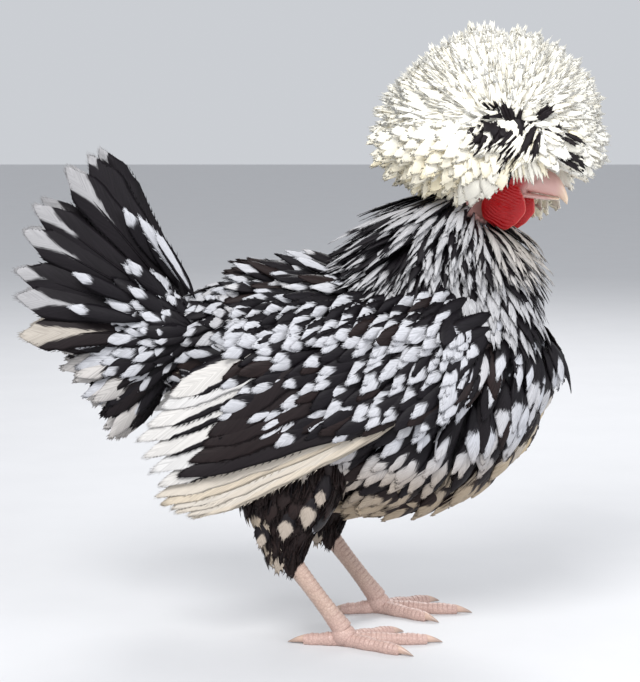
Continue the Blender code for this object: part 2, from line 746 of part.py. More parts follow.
def build_body():
    torso()
    neck = combine(neck_core(), hackles(), "UNION", "MANIFOLD")
    wings = [wing_core(side, GAP, True) for side in "LR"]
    cut_by(neck, [torso(GAP, True), line_block(1, -GAP / 2)] + wings + head_cutters(), "MANIFOLD")
    core = ball("crest", CREST_CORE_AT, CREST_CORE, "crest_feather", count=(18, 9))
    crest = combine(core, crest_feathers(), "UNION", "MANIFOLD")
    cut_by(crest, [line_block(-1, -GAP / 2)] + head_cutters(), "MANIFOLD")
    rump = ball("tail", TAIL_CORE_AT, TAIL_CORE, "black_feather", count=(14, 7))
    cut_by(combine(rump, tail_feathers(), "UNION", "MANIFOLD"), [torso(GAP, True)], "MANIFOLD")
    for side in "LR":
        wing = combine(wing_core(side), wing_feathers(side), "UNION", "MANIFOLD")
        cut_by(wing, [torso(GAP, True)], "MANIFOLD")
        cut_by(thigh(side), [torso(GAP, True)])


def build_legs():
    for side in "LR":
        cut_by(shank(side), [thigh(side, GAP, True)])
        for name, turn, length in TOES:
            others = [] if name == "middle" else [toe(side, "middle", TOES[1][1], TOES[1][2], GAP, True)]
            if name == "outer":
                others.append(toe(side, *TOES[0], GAP, True))
            if name == "hind":
                others += [toe(side, *TOES[0], GAP, True), toe(side, *TOES[2], GAP, True)]
            cut_by(toe(side, name, turn, length), [shank(side, GAP, True)] + others)
            cut_by(claw(side, name, turn, length), [toe(side, name, turn, length, GAP, True)])


def centre_on_floor():
    """Sets the middle of the bird's outline over the origin, by moving the empty that carries every part."""
    carrier = bpy.data.objects.new("hen", None)
    bpy.context.scene.collection.objects.link(carrier)
    parts = [o for o in bpy.data.objects if o.type == "MESH"]
    corners = np.array([o.matrix_world @ Vector(c) for o in parts for c in o.bound_box])
    middle = (corners.min(axis=0) + corners.max(axis=0)) / 2
    for obj in parts:
        obj.parent = carrier
    carrier.location = (-middle[0], -middle[1], 0)


def main():
    clear_scene()
    build_head()
    build_body()
    build_legs()
    centre_on_floor()


main()
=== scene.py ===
"""A crested hen at life size, dressed with skin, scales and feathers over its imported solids.

Sizes below are in millimetres in the bird's own frame: +X is the way the breast faces, +Y is its left, +Z is up,
and its feet stand at z = 0. place() turns them into the frame's metres.
"""
import math

import bpy
import numpy as np
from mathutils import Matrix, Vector


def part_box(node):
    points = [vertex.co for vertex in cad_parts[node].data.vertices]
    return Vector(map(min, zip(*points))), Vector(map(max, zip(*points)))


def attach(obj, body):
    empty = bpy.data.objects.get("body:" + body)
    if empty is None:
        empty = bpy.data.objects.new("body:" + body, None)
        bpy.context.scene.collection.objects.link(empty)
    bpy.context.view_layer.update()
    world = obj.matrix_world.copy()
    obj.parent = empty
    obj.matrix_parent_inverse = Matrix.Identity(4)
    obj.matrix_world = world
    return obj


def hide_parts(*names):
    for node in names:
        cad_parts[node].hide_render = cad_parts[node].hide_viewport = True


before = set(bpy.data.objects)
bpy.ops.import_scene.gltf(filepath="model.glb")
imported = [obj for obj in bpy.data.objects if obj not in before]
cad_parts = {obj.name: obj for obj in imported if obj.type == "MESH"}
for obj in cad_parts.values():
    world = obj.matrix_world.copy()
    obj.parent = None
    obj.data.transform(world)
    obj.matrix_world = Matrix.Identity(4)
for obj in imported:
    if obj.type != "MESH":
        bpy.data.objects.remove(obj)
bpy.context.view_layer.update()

MM = 0.001
SEED = 7
PIECE_LIMIT = 190000
SKIN_VOXEL = 1.5
# Two irrational steps, whose multiples wrapped into nought to one are spread evenly.
STEP_A = 0.7548776662
STEP_B = 0.5698402909
BODY_FEATHERS = 2300
HACKLES = 1350
NECK_CONTOURS = 330

# Torso slices from rump to breast, out to the tips of the coat: place along X, top, bottom and half width.
TORSO = np.array([
    (-77, 206, 196, 3), (-72, 222, 176, 16), (-56, 232, 146, 32), (-32, 240, 116, 46), (0, 245, 94, 57),
    (40, 248, 82, 62), (80, 248, 82, 63), (115, 246, 92, 60), (143, 238, 112, 51), (161, 225, 135, 37),
    (171, 209, 157, 20), (175, 190, 176, 4),
], float)
TORSO_POWER = 2.2
TORSO_WAIST = 0.52
TORSO_REAR = -77.0
COAT = 10.0

# Neck slices from shoulders to throat, out to the tips of the hackles: height, middle along X, half length, half
# width.
NECK = np.array([
    (196, 103, 64, 52), (224, 104, 65, 50), (243, 103, 64, 49), (258, 103, 58, 46), (271, 107, 50, 41),
    (283, 112, 42, 35), (294, 119, 30, 25), (306, 124, 24, 20),
], float)
NECK_SKIN = 0.55

HEAD_AT = np.array([134.0, 0, 312])
HEAD_TURN = math.radians(-12)
HEAD_BOW = math.radians(12)
# Head slices from nape to bill root: place, middle height, half height and half width.
HEAD = np.array([
    (-23, 1, 7, 7), (-18, 1, 12, 11), (-8, 0.5, 16, 14.5), (3, 0, 17, 15), (12, -1.5, 15.5, 13.5),
    (19, -3.5, 12.5, 11), (25, -5, 10, 8.6),
], float)
EYE_AT = np.array([8.5, 11.4, 2.5])
EYE_RADIUS = 5.6
BILL_ROOT = 19.0
BILL_LENGTH = 53.0
BILL_RIDGE = 5.5
BILL_DROP_FROM = 30.0
BILL_DROP = 16.3
GAPE_HEIGHT = -11.5
COMB_HIGH = 7.9
EARLOBE_RADII = np.array([5.0, 2.4, 6.5])
COMB_RADII = np.array([4.0, 3.2, 4.6])
WATTLE_AT = np.array([13.0, 9.5, -23])
WATTLE_RADIUS = 14.5
WATTLE_THICK = 2.6

CREST_AT = np.array([130.0, 0, 343.5])
CREST_OUTER = np.array([79.0, 70, 63])
CREST_KNOB_AT = np.array([126.0, 0, 336])
CREST_KNOB = np.array([24.0, 20, 17])
CREST_LINE = [(56.0, 299.0), (150.0, 277.0)]
CREST_JOWL = 0.3
CREST_RISE = 0.75
CREST_SLOPE = np.array([-0.72, 0, 0.69])

TAIL_ROOT = np.array([-60.0, 0, 204])
TAIL_FAN = [(120, 136), (130, 138), (141, 136), (151, 132), (161, 126), (170, 121), (180, 116)]

HOCK = {"R": np.array([-2.0, -40, 60]), "L": np.array([23.0, 42, 60])}
ANKLE = {"R": np.array([36.0, -42, 9]), "L": np.array([61.0, 44, 9])}
KNEE_RISE = 62.0
THIGH_LEAN = 8.0
THIGH = np.array([
    (0, 10, 9), (0.12, 17, 14), (0.3, 29, 17.5), (0.6, 38, 19.5), (0.85, 40, 19.5), (1, 34, 17),
], float)
SHANK = [6.8, 6.0, 5.6, 5.4, 5.4, 5.6, 6.2, 6.8]
TOE = [5.4, 4.6, 5.0, 4.0, 4.4, 3.4]
TOES = {"inner": (38, 40), "middle": (4, 54), "outer": (-34, 42), "hind": (172, 27)}
SOLE_PRESS = 0.75
LIMB_END = 0.4
SHANK_SCUTES = 19
SCUTE_LENGTH = 3.4
CLAW_LENGTH = 12.0

WING_SIDE = 63.5

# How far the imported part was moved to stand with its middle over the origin.
_low, _high = (np.array(corner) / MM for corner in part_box("torso"))
SHIFT = np.array([_low[0] - TORSO_REAR, (_low[1] + _high[1]) / 2, 0.0])


def place(points):
    """Millimetres in the bird's frame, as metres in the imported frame."""
    return (np.asarray(points, float) + SHIFT) * MM


def sign_of(side):
    """One for the left side, less one for the right."""
    return 1.0 if side == "L" else -1.0


def unit(vectors):
    """Vectors brought to a length of one."""
    return vectors / np.maximum(np.linalg.norm(vectors, axis=-1, keepdims=True), 1e-9)


def ease(low, high, value):
    """Nought below low, one above high, and a smooth rise between: three squares less two cubes."""
    t = np.clip((value - low) / (high - low), 0, 1)
    return t * t * (3 - 2 * t)


def rows_at(rows, where):
    """The columns of rows after the first, read off at places along the first by straight lines."""
    return [np.interp(where, rows[:, 0], rows[:, k]) for k in range(1, rows.shape[1])]


def head_place(points):
    """Head frame to bird frame: a bow about Y, then a turn about Z, then the head's place."""
    x, y, z = np.moveaxis(np.asarray(points, float), -1, 0)
    cb, sb, ct, st = math.cos(HEAD_BOW), math.sin(HEAD_BOW), math.cos(HEAD_TURN), math.sin(HEAD_TURN)
    bx, bz = x * cb + z * sb, -x * sb + z * cb
    return np.stack([bx * ct - y * st, bx * st + y * ct, bz], -1) + HEAD_AT


def to_head(points):
    """Bird frame to head frame, the other way round."""
    x, y, z = np.moveaxis(np.asarray(points, float) - HEAD_AT, -1, 0)
    cb, sb, ct, st = math.cos(HEAD_BOW), math.sin(HEAD_BOW), math.cos(HEAD_TURN), math.sin(HEAD_TURN)
    bx, by = x * ct + y * st, -x * st + y * ct
    return np.stack([bx * cb - z * sb, by, bx * sb + z * cb], -1)


def quasi(count, start=0):
    """Two rows of numbers from nought to one, spread evenly over a square: multiples of the two steps, wrapped."""
    k = np.arange(start, start + count) + 0.5
    return (k * STEP_A) % 1, (k * STEP_B) % 1


def stacked(*values):
    """Values spread to one shape, as the coordinates of points."""
    return np.stack(np.broadcast_arrays(*values), -1)


def round_way(turn):
    """Level ways at these turns from the way ahead."""
    return stacked(np.cos(turn), np.sin(turn), 0.0)


def side_way(angle):
    """Ways in the middle plane, at these angles up from the way ahead."""
    return stacked(np.cos(angle), 0.0, np.sin(angle))


def picked(mine, *arrays):
    """The marked rows of each array."""
    return [a[mine] for a in arrays]


# Meshes

def linked(name, data):
    """A new object for a mesh, a light or a camera, put into the scene."""
    obj = bpy.data.objects.new(name, data)
    bpy.context.scene.collection.objects.link(obj)
    return obj


def mesh_piece(name, points, faces, finish, slot):
    """A mesh object in the frame, from points in millimetres and a list of faces."""
    data = bpy.data.meshes.new(name)
    data.from_pydata(place(points), [], faces)
    data.shade_smooth()
    data.materials.append(FINISHES[finish])
    obj = linked(name, data)
    return obj


def ring_faces(rows, columns):
    """Quads between the rows of a grid of points whose columns close into a ring."""
    i = np.arange(rows - 1)[:, None] * columns
    j = np.arange(columns)[None, :]
    k = (j + 1) % columns
    return np.stack([i + j, i + k, i + columns + k, i + columns + j], -1).reshape(-1, 4)


def tube_mesh(grid, ends):
    """Points and faces of a grid of rings, drawn to a point beyond each end.

    The faces are turned round where the space that they close in, a sum of triple products, comes out negative.
    """
    rows, columns = grid.shape[:2]
    points = np.concatenate([grid.reshape(-1, 3), np.array(ends, float)])
    quads = ring_faces(rows, columns)
    j = np.arange(columns)
    k = (j + 1) % columns
    last = (rows - 1) * columns
    first_cap = np.stack([k, j, np.full(columns, rows * columns)], -1)
    last_cap = np.stack([last + j, last + k, np.full(columns, rows * columns + 1)], -1)
    caps = np.concatenate([first_cap, last_cap])
    thirds = np.concatenate([quads[:, [0, 1, 2]], quads[:, [0, 2, 3]], caps])
    a, b, c = (points[thirds[:, corner]] for corner in range(3))
    step = 1 if (a * np.cross(b, c)).sum() > 0 else -1
    return points, quads[:, ::step].tolist() + caps[:, ::step].tolist()


def ring_piece(name, grid, ends, finish, slot, edge=None):
    """A closed tube as a piece, with a map named Rim.

    Its v runs from nought at the first ring to one at the last, and u round the rings. Where edge is given, v is
    read off it for each ring, and u is nought.
    """
    obj = mesh_piece(name, *tube_mesh(grid, ends), finish, slot)
    rows, columns = grid.shape[:2]
    total = rows * columns
    index = np.empty(len(obj.data.loops), np.int32)
    obj.data.loops.foreach_get("vertex_index", index)
    row, column = np.minimum(index // columns, rows - 1), index % columns
    if edge is None:
        u = np.where(index >= total, 0.5, column / columns)
        v = np.where(index >= total, index - total, row / (rows - 1))
    else:
        u = 0 * index
        v = np.where(index >= total, 0.0, edge[row])
    layer = obj.data.uv_layers.new(name="Rim")
    layer.uv.foreach_set("vector", stacked(u, v).astype(np.float32).ravel())
    return obj


def latitudes(rows):
    """Angles from the lower pole to the upper one, without the poles, down a column."""
    return np.linspace(-math.pi / 2, math.pi / 2, rows + 2)[1:-1, None]


def turns(columns):
    """Angles once round."""
    return np.arange(columns) * 2 * math.pi / columns


# Materials

class Wire:
    """A number that runs through a material's nodes, with the usual arithmetic."""

    def __init__(self, finish, socket):
        self.finish = finish
        self.socket = socket

    def _math(self, operation, *values):
        made = self.finish.node("ShaderNodeMath", {"operation": operation}, dict(enumerate(values)))
        return Wire(self.finish, made.outputs[0])

    def __add__(self, other):
        return self._math("ADD", self, other)

    __radd__ = __add__

    def __mul__(self, other):
        return self._math("MULTIPLY", self, other)

    __rmul__ = __mul__

    def __sub__(self, other):
        return self._math("SUBTRACT", self, other)

    def __rsub__(self, other):
        return self._math("SUBTRACT", other, self)

    def __truediv__(self, other):
        return self._math("DIVIDE", self, other)

    def __pow__(self, other):
        return self._math("POWER", self, other)

    def abs(self):
        return self._math("ABSOLUTE", self)

    def sine(self):
        return self._math("SINE", self)

    def least(self, other):
        return self._math("MINIMUM", self, other)

    def most(self, other):
        return self._math("MAXIMUM", self, other)

    def ramp(self, low, high):
        """Nought at low, one at high, and a smooth rise between."""
        made = self.finish.node("ShaderNodeMapRange", {"interpolation_type": "SMOOTHSTEP"},
                                {"Value": self, "From Min": low, "From Max": high})
        return Wire(self.finish, made.outputs["Result"])


class Finish:
    """A material under a plain name, built up from nodes around one Principled shader."""

    def __init__(self, name, rough=0.5, coat=0.0, shine=0.4):
        self.material = bpy.data.materials.new(name)
        self.material.use_nodes = True
        self.tree = self.material.node_tree
        self.shader = self.tree.nodes["Principled BSDF"]
        self.shader.inputs["Roughness"].default_value = rough
        self.shader.inputs["Coat Weight"].default_value = coat
        self.shader.inputs["Specular IOR Level"].default_value = shine

    def node(self, kind, settings=None, values=None):
        """A node of that kind: its settings first, then the values or links of its sockets."""
        made = self.tree.nodes.new(kind)
        for key, value in (settings or {}).items():
            setattr(made, key, value)
        for key, value in (values or {}).items():
            if value is None:
                continue
            self.feed(value, made.inputs[key])
        return made

    def feed(self, value, socket):
        if isinstance(value, Wire):
            value = value.socket
        if isinstance(value, bpy.types.NodeSocket):
            self.tree.links.new(value, socket)
        else:
            socket.default_value = value

    def wire(self, node, output=0):
        return Wire(self, node.outputs[output])

    def parts(self, vector):
        """The three numbers of a vector or colour."""
        made = self.node("ShaderNodeSeparateXYZ", None, {0: vector})
        return [Wire(self, made.outputs[k]) for k in range(3)]

    def vector(self, x, y, z):
        return self.node("ShaderNodeCombineXYZ", None, {0: x, 1: y, 2: z}).outputs[0]

    def place(self):
        return self.node("ShaderNodeTexCoord").outputs["Object"]

    def uv(self, name):
        return self.node("ShaderNodeUVMap", {"uv_map": name}).outputs[0]

    def attribute(self, name):
        return self.node("ShaderNodeAttribute", {"attribute_name": name}).outputs["Color"]

    def noise(self, vector, scale, detail=3.0, rough=0.55):
        made = self.node("ShaderNodeTexNoise", None,
                         {"Vector": vector, "Scale": scale, "Detail": detail, "Roughness": rough})
        return self.wire(made, 0)

    def mix(self, share, first, second):
        """A colour that is first where share is nought and second where it is one."""
        made = self.node("ShaderNodeMix", {"data_type": "RGBA"}, {0: share, 6: first, 7: second})
        return made.outputs[2]

    def bump(self, height, strength, distance):
        made = self.node("ShaderNodeBump", None, {"Strength": strength, "Distance": distance, "Height": height})
        self.feed(made.outputs[0], self.shader.inputs["Normal"])

    def colour(self, value):
        self.feed(value, self.shader.inputs["Base Color"])
        return self


def rgb(red, green, blue):
    """A colour without any clearness."""
    return (red, green, blue, 1.0)


BLACK = rgb(0.006, 0.005, 0.007)
BROWN_BLACK = rgb(0.017, 0.010, 0.009)
WHITE = rgb(0.51, 0.52, 0.56)
# Pale tips low on the body turn to LOW_DULL_AND_SHADE between the two heights of LOW_DULL_AND_SHADE_FROM, in
# metres: partly a duller colour of their own, and partly painted shade, darker towards the bottom.
LOW_DULL_AND_SHADE = rgb(0.36, 0.29, 0.22)
LOW_DULL_AND_SHADE_FROM = (0.140, 0.100)
CREAM = rgb(0.56, 0.45, 0.29)
QUILL_WHITE = rgb(0.60, 0.59, 0.58)
CREST_WHITE = rgb(0.925, 0.915, 0.865)
CREST_CREAM = rgb(0.90, 0.80, 0.55)


def plumage(name, pale, warm_pale, dark, warm_dark, streak, grain, fan=False, relief=0.3, under=None):
    """Feather colour from the vane's own map and its marks: the pale tip's length, warmth and a random number.

    Along the vane v runs from root to tip and u across it. The feather is pale beyond one less its tip's length,
    and that line curves with the square of the way across, by as much as chance says, frayed by streaks. A tail
    feather's pale tip is a fan instead, which narrows to the shaft with the square of the way back from the tip.
    The streaks also run through the colour, the roughness and the bump; along them the dark part is streaked
    lighter, partly brown fibres of its own and partly a painted sheen. The colour is darker towards the root, a
    painted shade where the vane lies under the feathers over it. Grain is how many streaks there are along and
    across. The pale part turns to the under colour, where that is given, between the two heights of
    LOW_DULL_AND_SHADE_FROM:
    partly a duller colour of its own and partly painted shade, darker towards the bottom.
    """
    finish = Finish(name, 0.55, 0.0, 0.15)
    u, v, _ = finish.parts(finish.uv("Vane"))
    tip, warm, chance = finish.parts(finish.attribute("marks"))
    across = (u * 2 - 1).abs()
    slant = finish.vector(v * grain[0] - across * grain[1], across * 1.2 + u * 2, chance * 40)
    fibres = finish.noise(slant, 1.0, 2.5, 0.6)
    smudge = finish.noise(finish.vector(u * 2.6, v * 6, chance * 60), 1.0, 2.0)
    if fan:
        run = ((v.least(0.985) - 1 + tip) / (tip + 0.001)).most(0)
        edge = across - run * run * 0.95 - 0.02 + (fibres - 0.5) * 0.5 + (smudge - 0.5) * 0.4
        white = edge.ramp(0.06, -0.06) * run.ramp(0.0, 0.2)
    else:
        inner = 1 - tip * (1.06 - across * across * (1.1 - (chance * 7.3).sine() * 0.9))
        fray = ((fibres - 0.5) * 0.9 + (smudge - 0.5) * 0.5) * (tip * 0.8 + 0.06)
        white = (v - inner + fray).ramp(-0.035, 0.045)
    white = (white * tip.ramp(0.0, 0.03)).most(tip.ramp(0.93, 0.97))
    pale_now = finish.mix(warm, pale, warm_pale)
    # Low on the body the pale part turns duller and darker: partly its own colour, and partly painted shade.
    if under:
        height = finish.parts(finish.place())[2]
        pale_now = finish.mix(height.ramp(*LOW_DULL_AND_SHADE_FROM) * 0.8, pale_now, under)
    dark_now = finish.mix(warm, dark, warm_dark)
    # The dark part streaked lighter along the fibres: partly brown fibres of its own, and partly a painted sheen.
    streaked_dark_and_sheen = finish.node("ShaderNodeVectorMath", {"operation": "SCALE"}, {0: dark_now, "Scale": 0.35 + fibres * 1.7})
    body = finish.mix(white, streaked_dark_and_sheen.outputs[0], pale_now)
    shade = 1 - fibres.ramp(0.60, 0.34) * streak
    # Painted shade: darker towards the root, where the vane lies under the feathers over it, times the darker
    # streaks.
    deep = (1 - (1 - v.ramp(0.0, 0.6)) * (streak * 0.6)) * shade
    shaded = finish.node("ShaderNodeVectorMath", {"operation": "SCALE"}, {0: body, "Scale": deep})
    finish.colour(shaded.outputs[0])
    finish.feed(0.60 - fibres * 0.15, finish.shader.inputs["Roughness"])
    finish.bump(fibres, relief, 0.0005)
    return finish.material


def bare_skin(name):
    """Red face skin round the head, pink on the throat, pale under the crest, and mottled black under the coat."""
    finish = Finish(name, 0.5, 0.12)
    where = finish.place()
    folds = finish.noise(where, 260.0, 4.0, 0.6)
    blotch = finish.noise(where, 60.0, 3.0)
    x, _, z = finish.parts(where)
    head = place(HEAD_AT)
    away = ((x - float(head[0])) ** 2 + (z - float(head[2])) ** 2) ** 0.5
    red = finish.mix(blotch, rgb(0.52, 0.012, 0.012), rgb(0.30, 0.005, 0.008))
    pink = finish.mix(blotch, rgb(0.62, 0.38, 0.34), rgb(0.50, 0.27, 0.25))
    face = finish.mix(away.ramp(0.019, 0.026), red, pink)
    coat = finish.mix(blotch.ramp(0.58, 0.62), BLACK, WHITE)
    body = finish.mix(away.ramp(0.034, 0.038), face, coat)
    finish.colour(finish.mix((z - float(head[2])).ramp(0.014, 0.020), body, CREST_WHITE))
    finish.bump(folds, 0.5, 0.0012)
    return finish.material


def comb_skin(name):
    """Wet-looking red skin with pimples, a little paler at the rim of a fold."""
    finish = Finish(name, 0.42, 0.25)
    where = finish.place()
    grain = finish.node("ShaderNodeTexVoronoi", None, {"Vector": where, "Scale": 900.0})
    pimples = finish.wire(grain, 0)
    blotch = finish.noise(where, 90.0, 3.0)
    _, v, _ = finish.parts(finish.uv("Rim"))
    red = finish.mix(blotch, rgb(0.60, 0.0, 0.004), rgb(0.36, 0.0, 0.002))
    finish.colour(finish.mix(v.ramp(0.95, 1.0) * 0.5, red, rgb(0.75, 0.20, 0.15)))
    finish.bump(pimples + blotch * 0.5, 0.35, 0.0005)
    return finish.material


def horn(name, pale, deep, tip, reach):
    """Smooth horn that runs from a pink root to a yellowish tip, with faint growth lines along it."""
    finish = Finish(name, 0.32, 0.2)
    u, v, _ = finish.parts(finish.uv("Rim"))
    lines = finish.noise(finish.vector(u * 14, v * 1.5, 3.0), 1.0, 3.0)
    root = finish.mix(lines, pale, deep)
    finish.colour(finish.mix(v.ramp(reach, 1.0), root, tip))
    finish.bump(lines, 0.15, 0.0004)
    return finish.material


def leg_scales(name):
    """Pale pink scales, redder low down, with painted shade: greyer between them, and a dark line across each
    scute.
    """
    finish = Finish(name, 0.42, 0.1)
    where = finish.place()
    _, _, z = finish.parts(where)
    blotch = finish.noise(where, 120.0, 4.0)
    cells = finish.wire(finish.node("ShaderNodeTexVoronoi", {"feature": "DISTANCE_TO_EDGE"},
                                    {"Vector": where, "Scale": 520.0}), 0)
    base = finish.mix(blotch, rgb(0.55, 0.41, 0.33), rgb(0.41, 0.28, 0.23))
    low = finish.mix(z.ramp(0.030, 0.004) * 0.45, base, rgb(0.58, 0.38, 0.35))
    # Painted shade: dark in each scute's crease, and greyer in the grooves between the small scales.
    crease, _, _ = finish.parts(finish.attribute("crease"))
    seam_shade = (1 - cells.ramp(0.0, 0.12)) * 0.35
    finish.colour(finish.mix(crease.most(seam_shade), low, rgb(0.20, 0.11, 0.10)))
    finish.bump(cells.ramp(0.0, 0.2) + blotch * 0.4, 0.3, 0.0004)
    return finish.material


def eye_gloss(name):
    """An orange-brown iris round a black pupil, under a clear wet coat, in rings about the eye's axis."""
    finish = Finish(name, 0.06, 1.0)
    u, v, _ = finish.parts(finish.uv("Rim"))
    spokes = finish.noise(finish.vector(u * 30, v * 4, 0.0), 1.0, 3.0)
    iris = finish.mix(spokes, rgb(0.55, 0.14, 0.02), rgb(0.22, 0.05, 0.01))
    pupil = finish.mix(v.ramp(0.26, 0.30), rgb(0.002, 0.002, 0.002), iris)
    finish.colour(finish.mix(v.ramp(0.56, 0.64), pupil, rgb(0.05, 0.02, 0.015)))
    return finish.material


def lobe_skin(name):
    """Pale skin, blotched with a duller pink."""
    finish = Finish(name, 0.55, 0.05)
    where = finish.place()
    blotch = finish.noise(where, 200.0, 4.0)
    finish.colour(finish.mix(blotch, rgb(0.86, 0.80, 0.76), rgb(0.66, 0.42, 0.38)))
    finish.bump(blotch, 0.3, 0.0008)
    return finish.material


FINISHES = {
    "body": plumage("body_plumage", WHITE, CREAM, BLACK, BROWN_BLACK, 0.32, (34, 15), under=LOW_DULL_AND_SHADE),
    "hackle": plumage("hackle_plumage", rgb(0.46, 0.465, 0.49), CREAM, BLACK, BROWN_BLACK, 0.45, (34, 15)),
    "quill": plumage("quill_plumage", QUILL_WHITE, rgb(0.55, 0.41, 0.22), BLACK, BROWN_BLACK, 0.26, (75, 22)),
    # The tail fan's pale is greyer than the body's: partly a grey-white of its own, and partly painted shade.
    "tail": plumage("tail_plumage", rgb(0.33, 0.335, 0.36), CREAM, BLACK, BROWN_BLACK, 0.26, (75, 22), fan=True),
    "crest": plumage("crest_plumage", CREST_WHITE, CREST_CREAM, BLACK, BROWN_BLACK, 0.08, (36, 12), relief=0.1),
    "skin": bare_skin("face_skin"),
    "comb": comb_skin("wattle_skin"),
    "bill": horn("bill_horn_pink", rgb(0.80, 0.52, 0.47), rgb(0.66, 0.38, 0.34), rgb(0.85, 0.66, 0.48), 0.7),
    "claw": horn("claw_horn_pale", rgb(0.62, 0.45, 0.36), rgb(0.42, 0.28, 0.22), rgb(0.30, 0.22, 0.18), 0.2),
    "leg": leg_scales("leg_scales_pink"),
    "eye": eye_gloss("eye_wet"),
    "lobe": lobe_skin("ear_skin"),
}


# Feathers

# A vane's rows from root to tip: how far along, its half width there, and how far its edges lag behind its shaft.
VANES = {
    "contour": [(0, 0.12, 0), (0.25, 0.66, 0.02), (0.5, 0.96, 0.05), (0.7, 1, 0.08), (0.82, 0.94, 0.10),
                (0.9, 0.78, 0.11), (0.96, 0.54, 0.08), (1, 0.22, 0.03)],
    "breast": [(0, 0.12, 0), (0.25, 0.66, 0.02), (0.48, 0.96, 0.05), (0.65, 1, 0.08), (0.78, 0.86, 0.10),
               (0.88, 0.62, 0.09), (0.95, 0.36, 0.06), (1, 0.12, 0.02)],
    "crest": [(0, 0.1, 0), (0.22, 0.5, 0.02), (0.46, 0.9, 0.05), (0.66, 1, 0.08), (0.82, 0.78, 0.12),
              (0.93, 0.45, 0.14), (1, 0.14, 0.06)],
    "hackle": [(0, 0.2, 0), (0.3, 0.85, 0.02), (0.58, 1, 0.04), (0.78, 0.75, 0.05), (0.92, 0.4, 0.05),
               (1, 0.1, 0.02)],
    "spread": [(0, 0.08, 0), (0.05, 0.2, 0), (0.12, 0.45, 0.01), (0.2, 0.6, 0.02), (0.3, 0.68, 0.02),
               (0.4, 0.74, 0.03), (0.5, 0.8, 0.03), (0.6, 0.87, 0.03), (0.7, 0.94, 0.04), (0.78, 1, 0.05),
               (0.85, 1, 0.06), (0.9, 0.97, 0.07), (0.94, 0.9, 0.09), (0.97, 0.78, 0.1), (1, 0.52, 0.1)],
    "quill": [(0, 0.08, 0), (0.05, 0.2, 0), (0.12, 0.5, 0.01), (0.2, 0.74, 0.02), (0.28, 0.86, 0.02),
              (0.36, 0.93, 0.03), (0.44, 0.97, 0.03), (0.52, 1, 0.03), (0.6, 1, 0.035), (0.68, 1, 0.04),
              (0.75, 0.99, 0.045), (0.81, 0.97, 0.05), (0.86, 0.93, 0.06), (0.9, 0.88, 0.07),
              (0.94, 0.79, 0.08), (0.97, 0.66, 0.09), (1, 0.42, 0.08)],
}
# How far a vane's keel runs below its shaft.
THICK = 0.35


def vane_faces(rows, columns):
    """Triangles of a vane: rings of its top columns and one keel point, joined in turn and closed at both ends."""
    ring = columns + 1
    quads = ring_faces(rows, ring)
    sides = np.concatenate([quads[:, [0, 1, 2]], quads[:, [0, 2, 3]]])
    j = np.arange(columns - 1)
    keel = np.full(columns - 1, columns)
    end = (rows - 1) * ring
    return np.concatenate([sides, np.stack([keel, j + 1, j], -1), np.stack([keel, j, j + 1], -1) + end])


# A barb is three points at its foot and one at its tip.
BARB_FACES = np.array([(0, 1, 3), (1, 2, 3), (2, 0, 3), (0, 2, 1)])


def rim(kind, count):
    """Where loose barbs stand on a vane's rim: along it, across it, and how far each leans out, in radians."""
    rows = np.array(VANES[kind])
    w = np.linspace(-1, 1, count)
    part = np.abs(w)
    row = np.interp(part, [0.35, 1], [1, 0.5])
    half, lag = np.interp(row, rows[:, 0], rows[:, 1]), np.interp(row, rows[:, 0], rows[:, 2])
    share = np.minimum(part / 0.35, 1)
    return row - lag * share ** 2, np.sign(w) * half * share, np.sign(w) * (0.08 + 0.5 * part)


def shaft_frame(root, bend, tip, out, s):
    """Places on the curve (1-s)^2 root + 2s(1-s) bend + s^2 tip, its way there, its side and its upper side."""
    more = (slice(None),) + (None,) * (s.ndim - 1)
    root, bend, tip, out = (np.asarray(a, float)[more] for a in (root, bend, tip, out))
    q = s[..., None]
    at = (1 - q) ** 2 * root + 2 * q * (1 - q) * bend + q * q * tip
    along = unit((1 - q) * (bend - root) + q * (tip - bend))
    side = unit(np.cross(along, out))
    return at, along, side, np.cross(side, along)


def repeated(faces, times, points):
    """The same small list of faces for each of several shapes that follow one another."""
    return (faces[None] + (np.arange(times) * points)[:, None, None]).reshape(-1, 3)


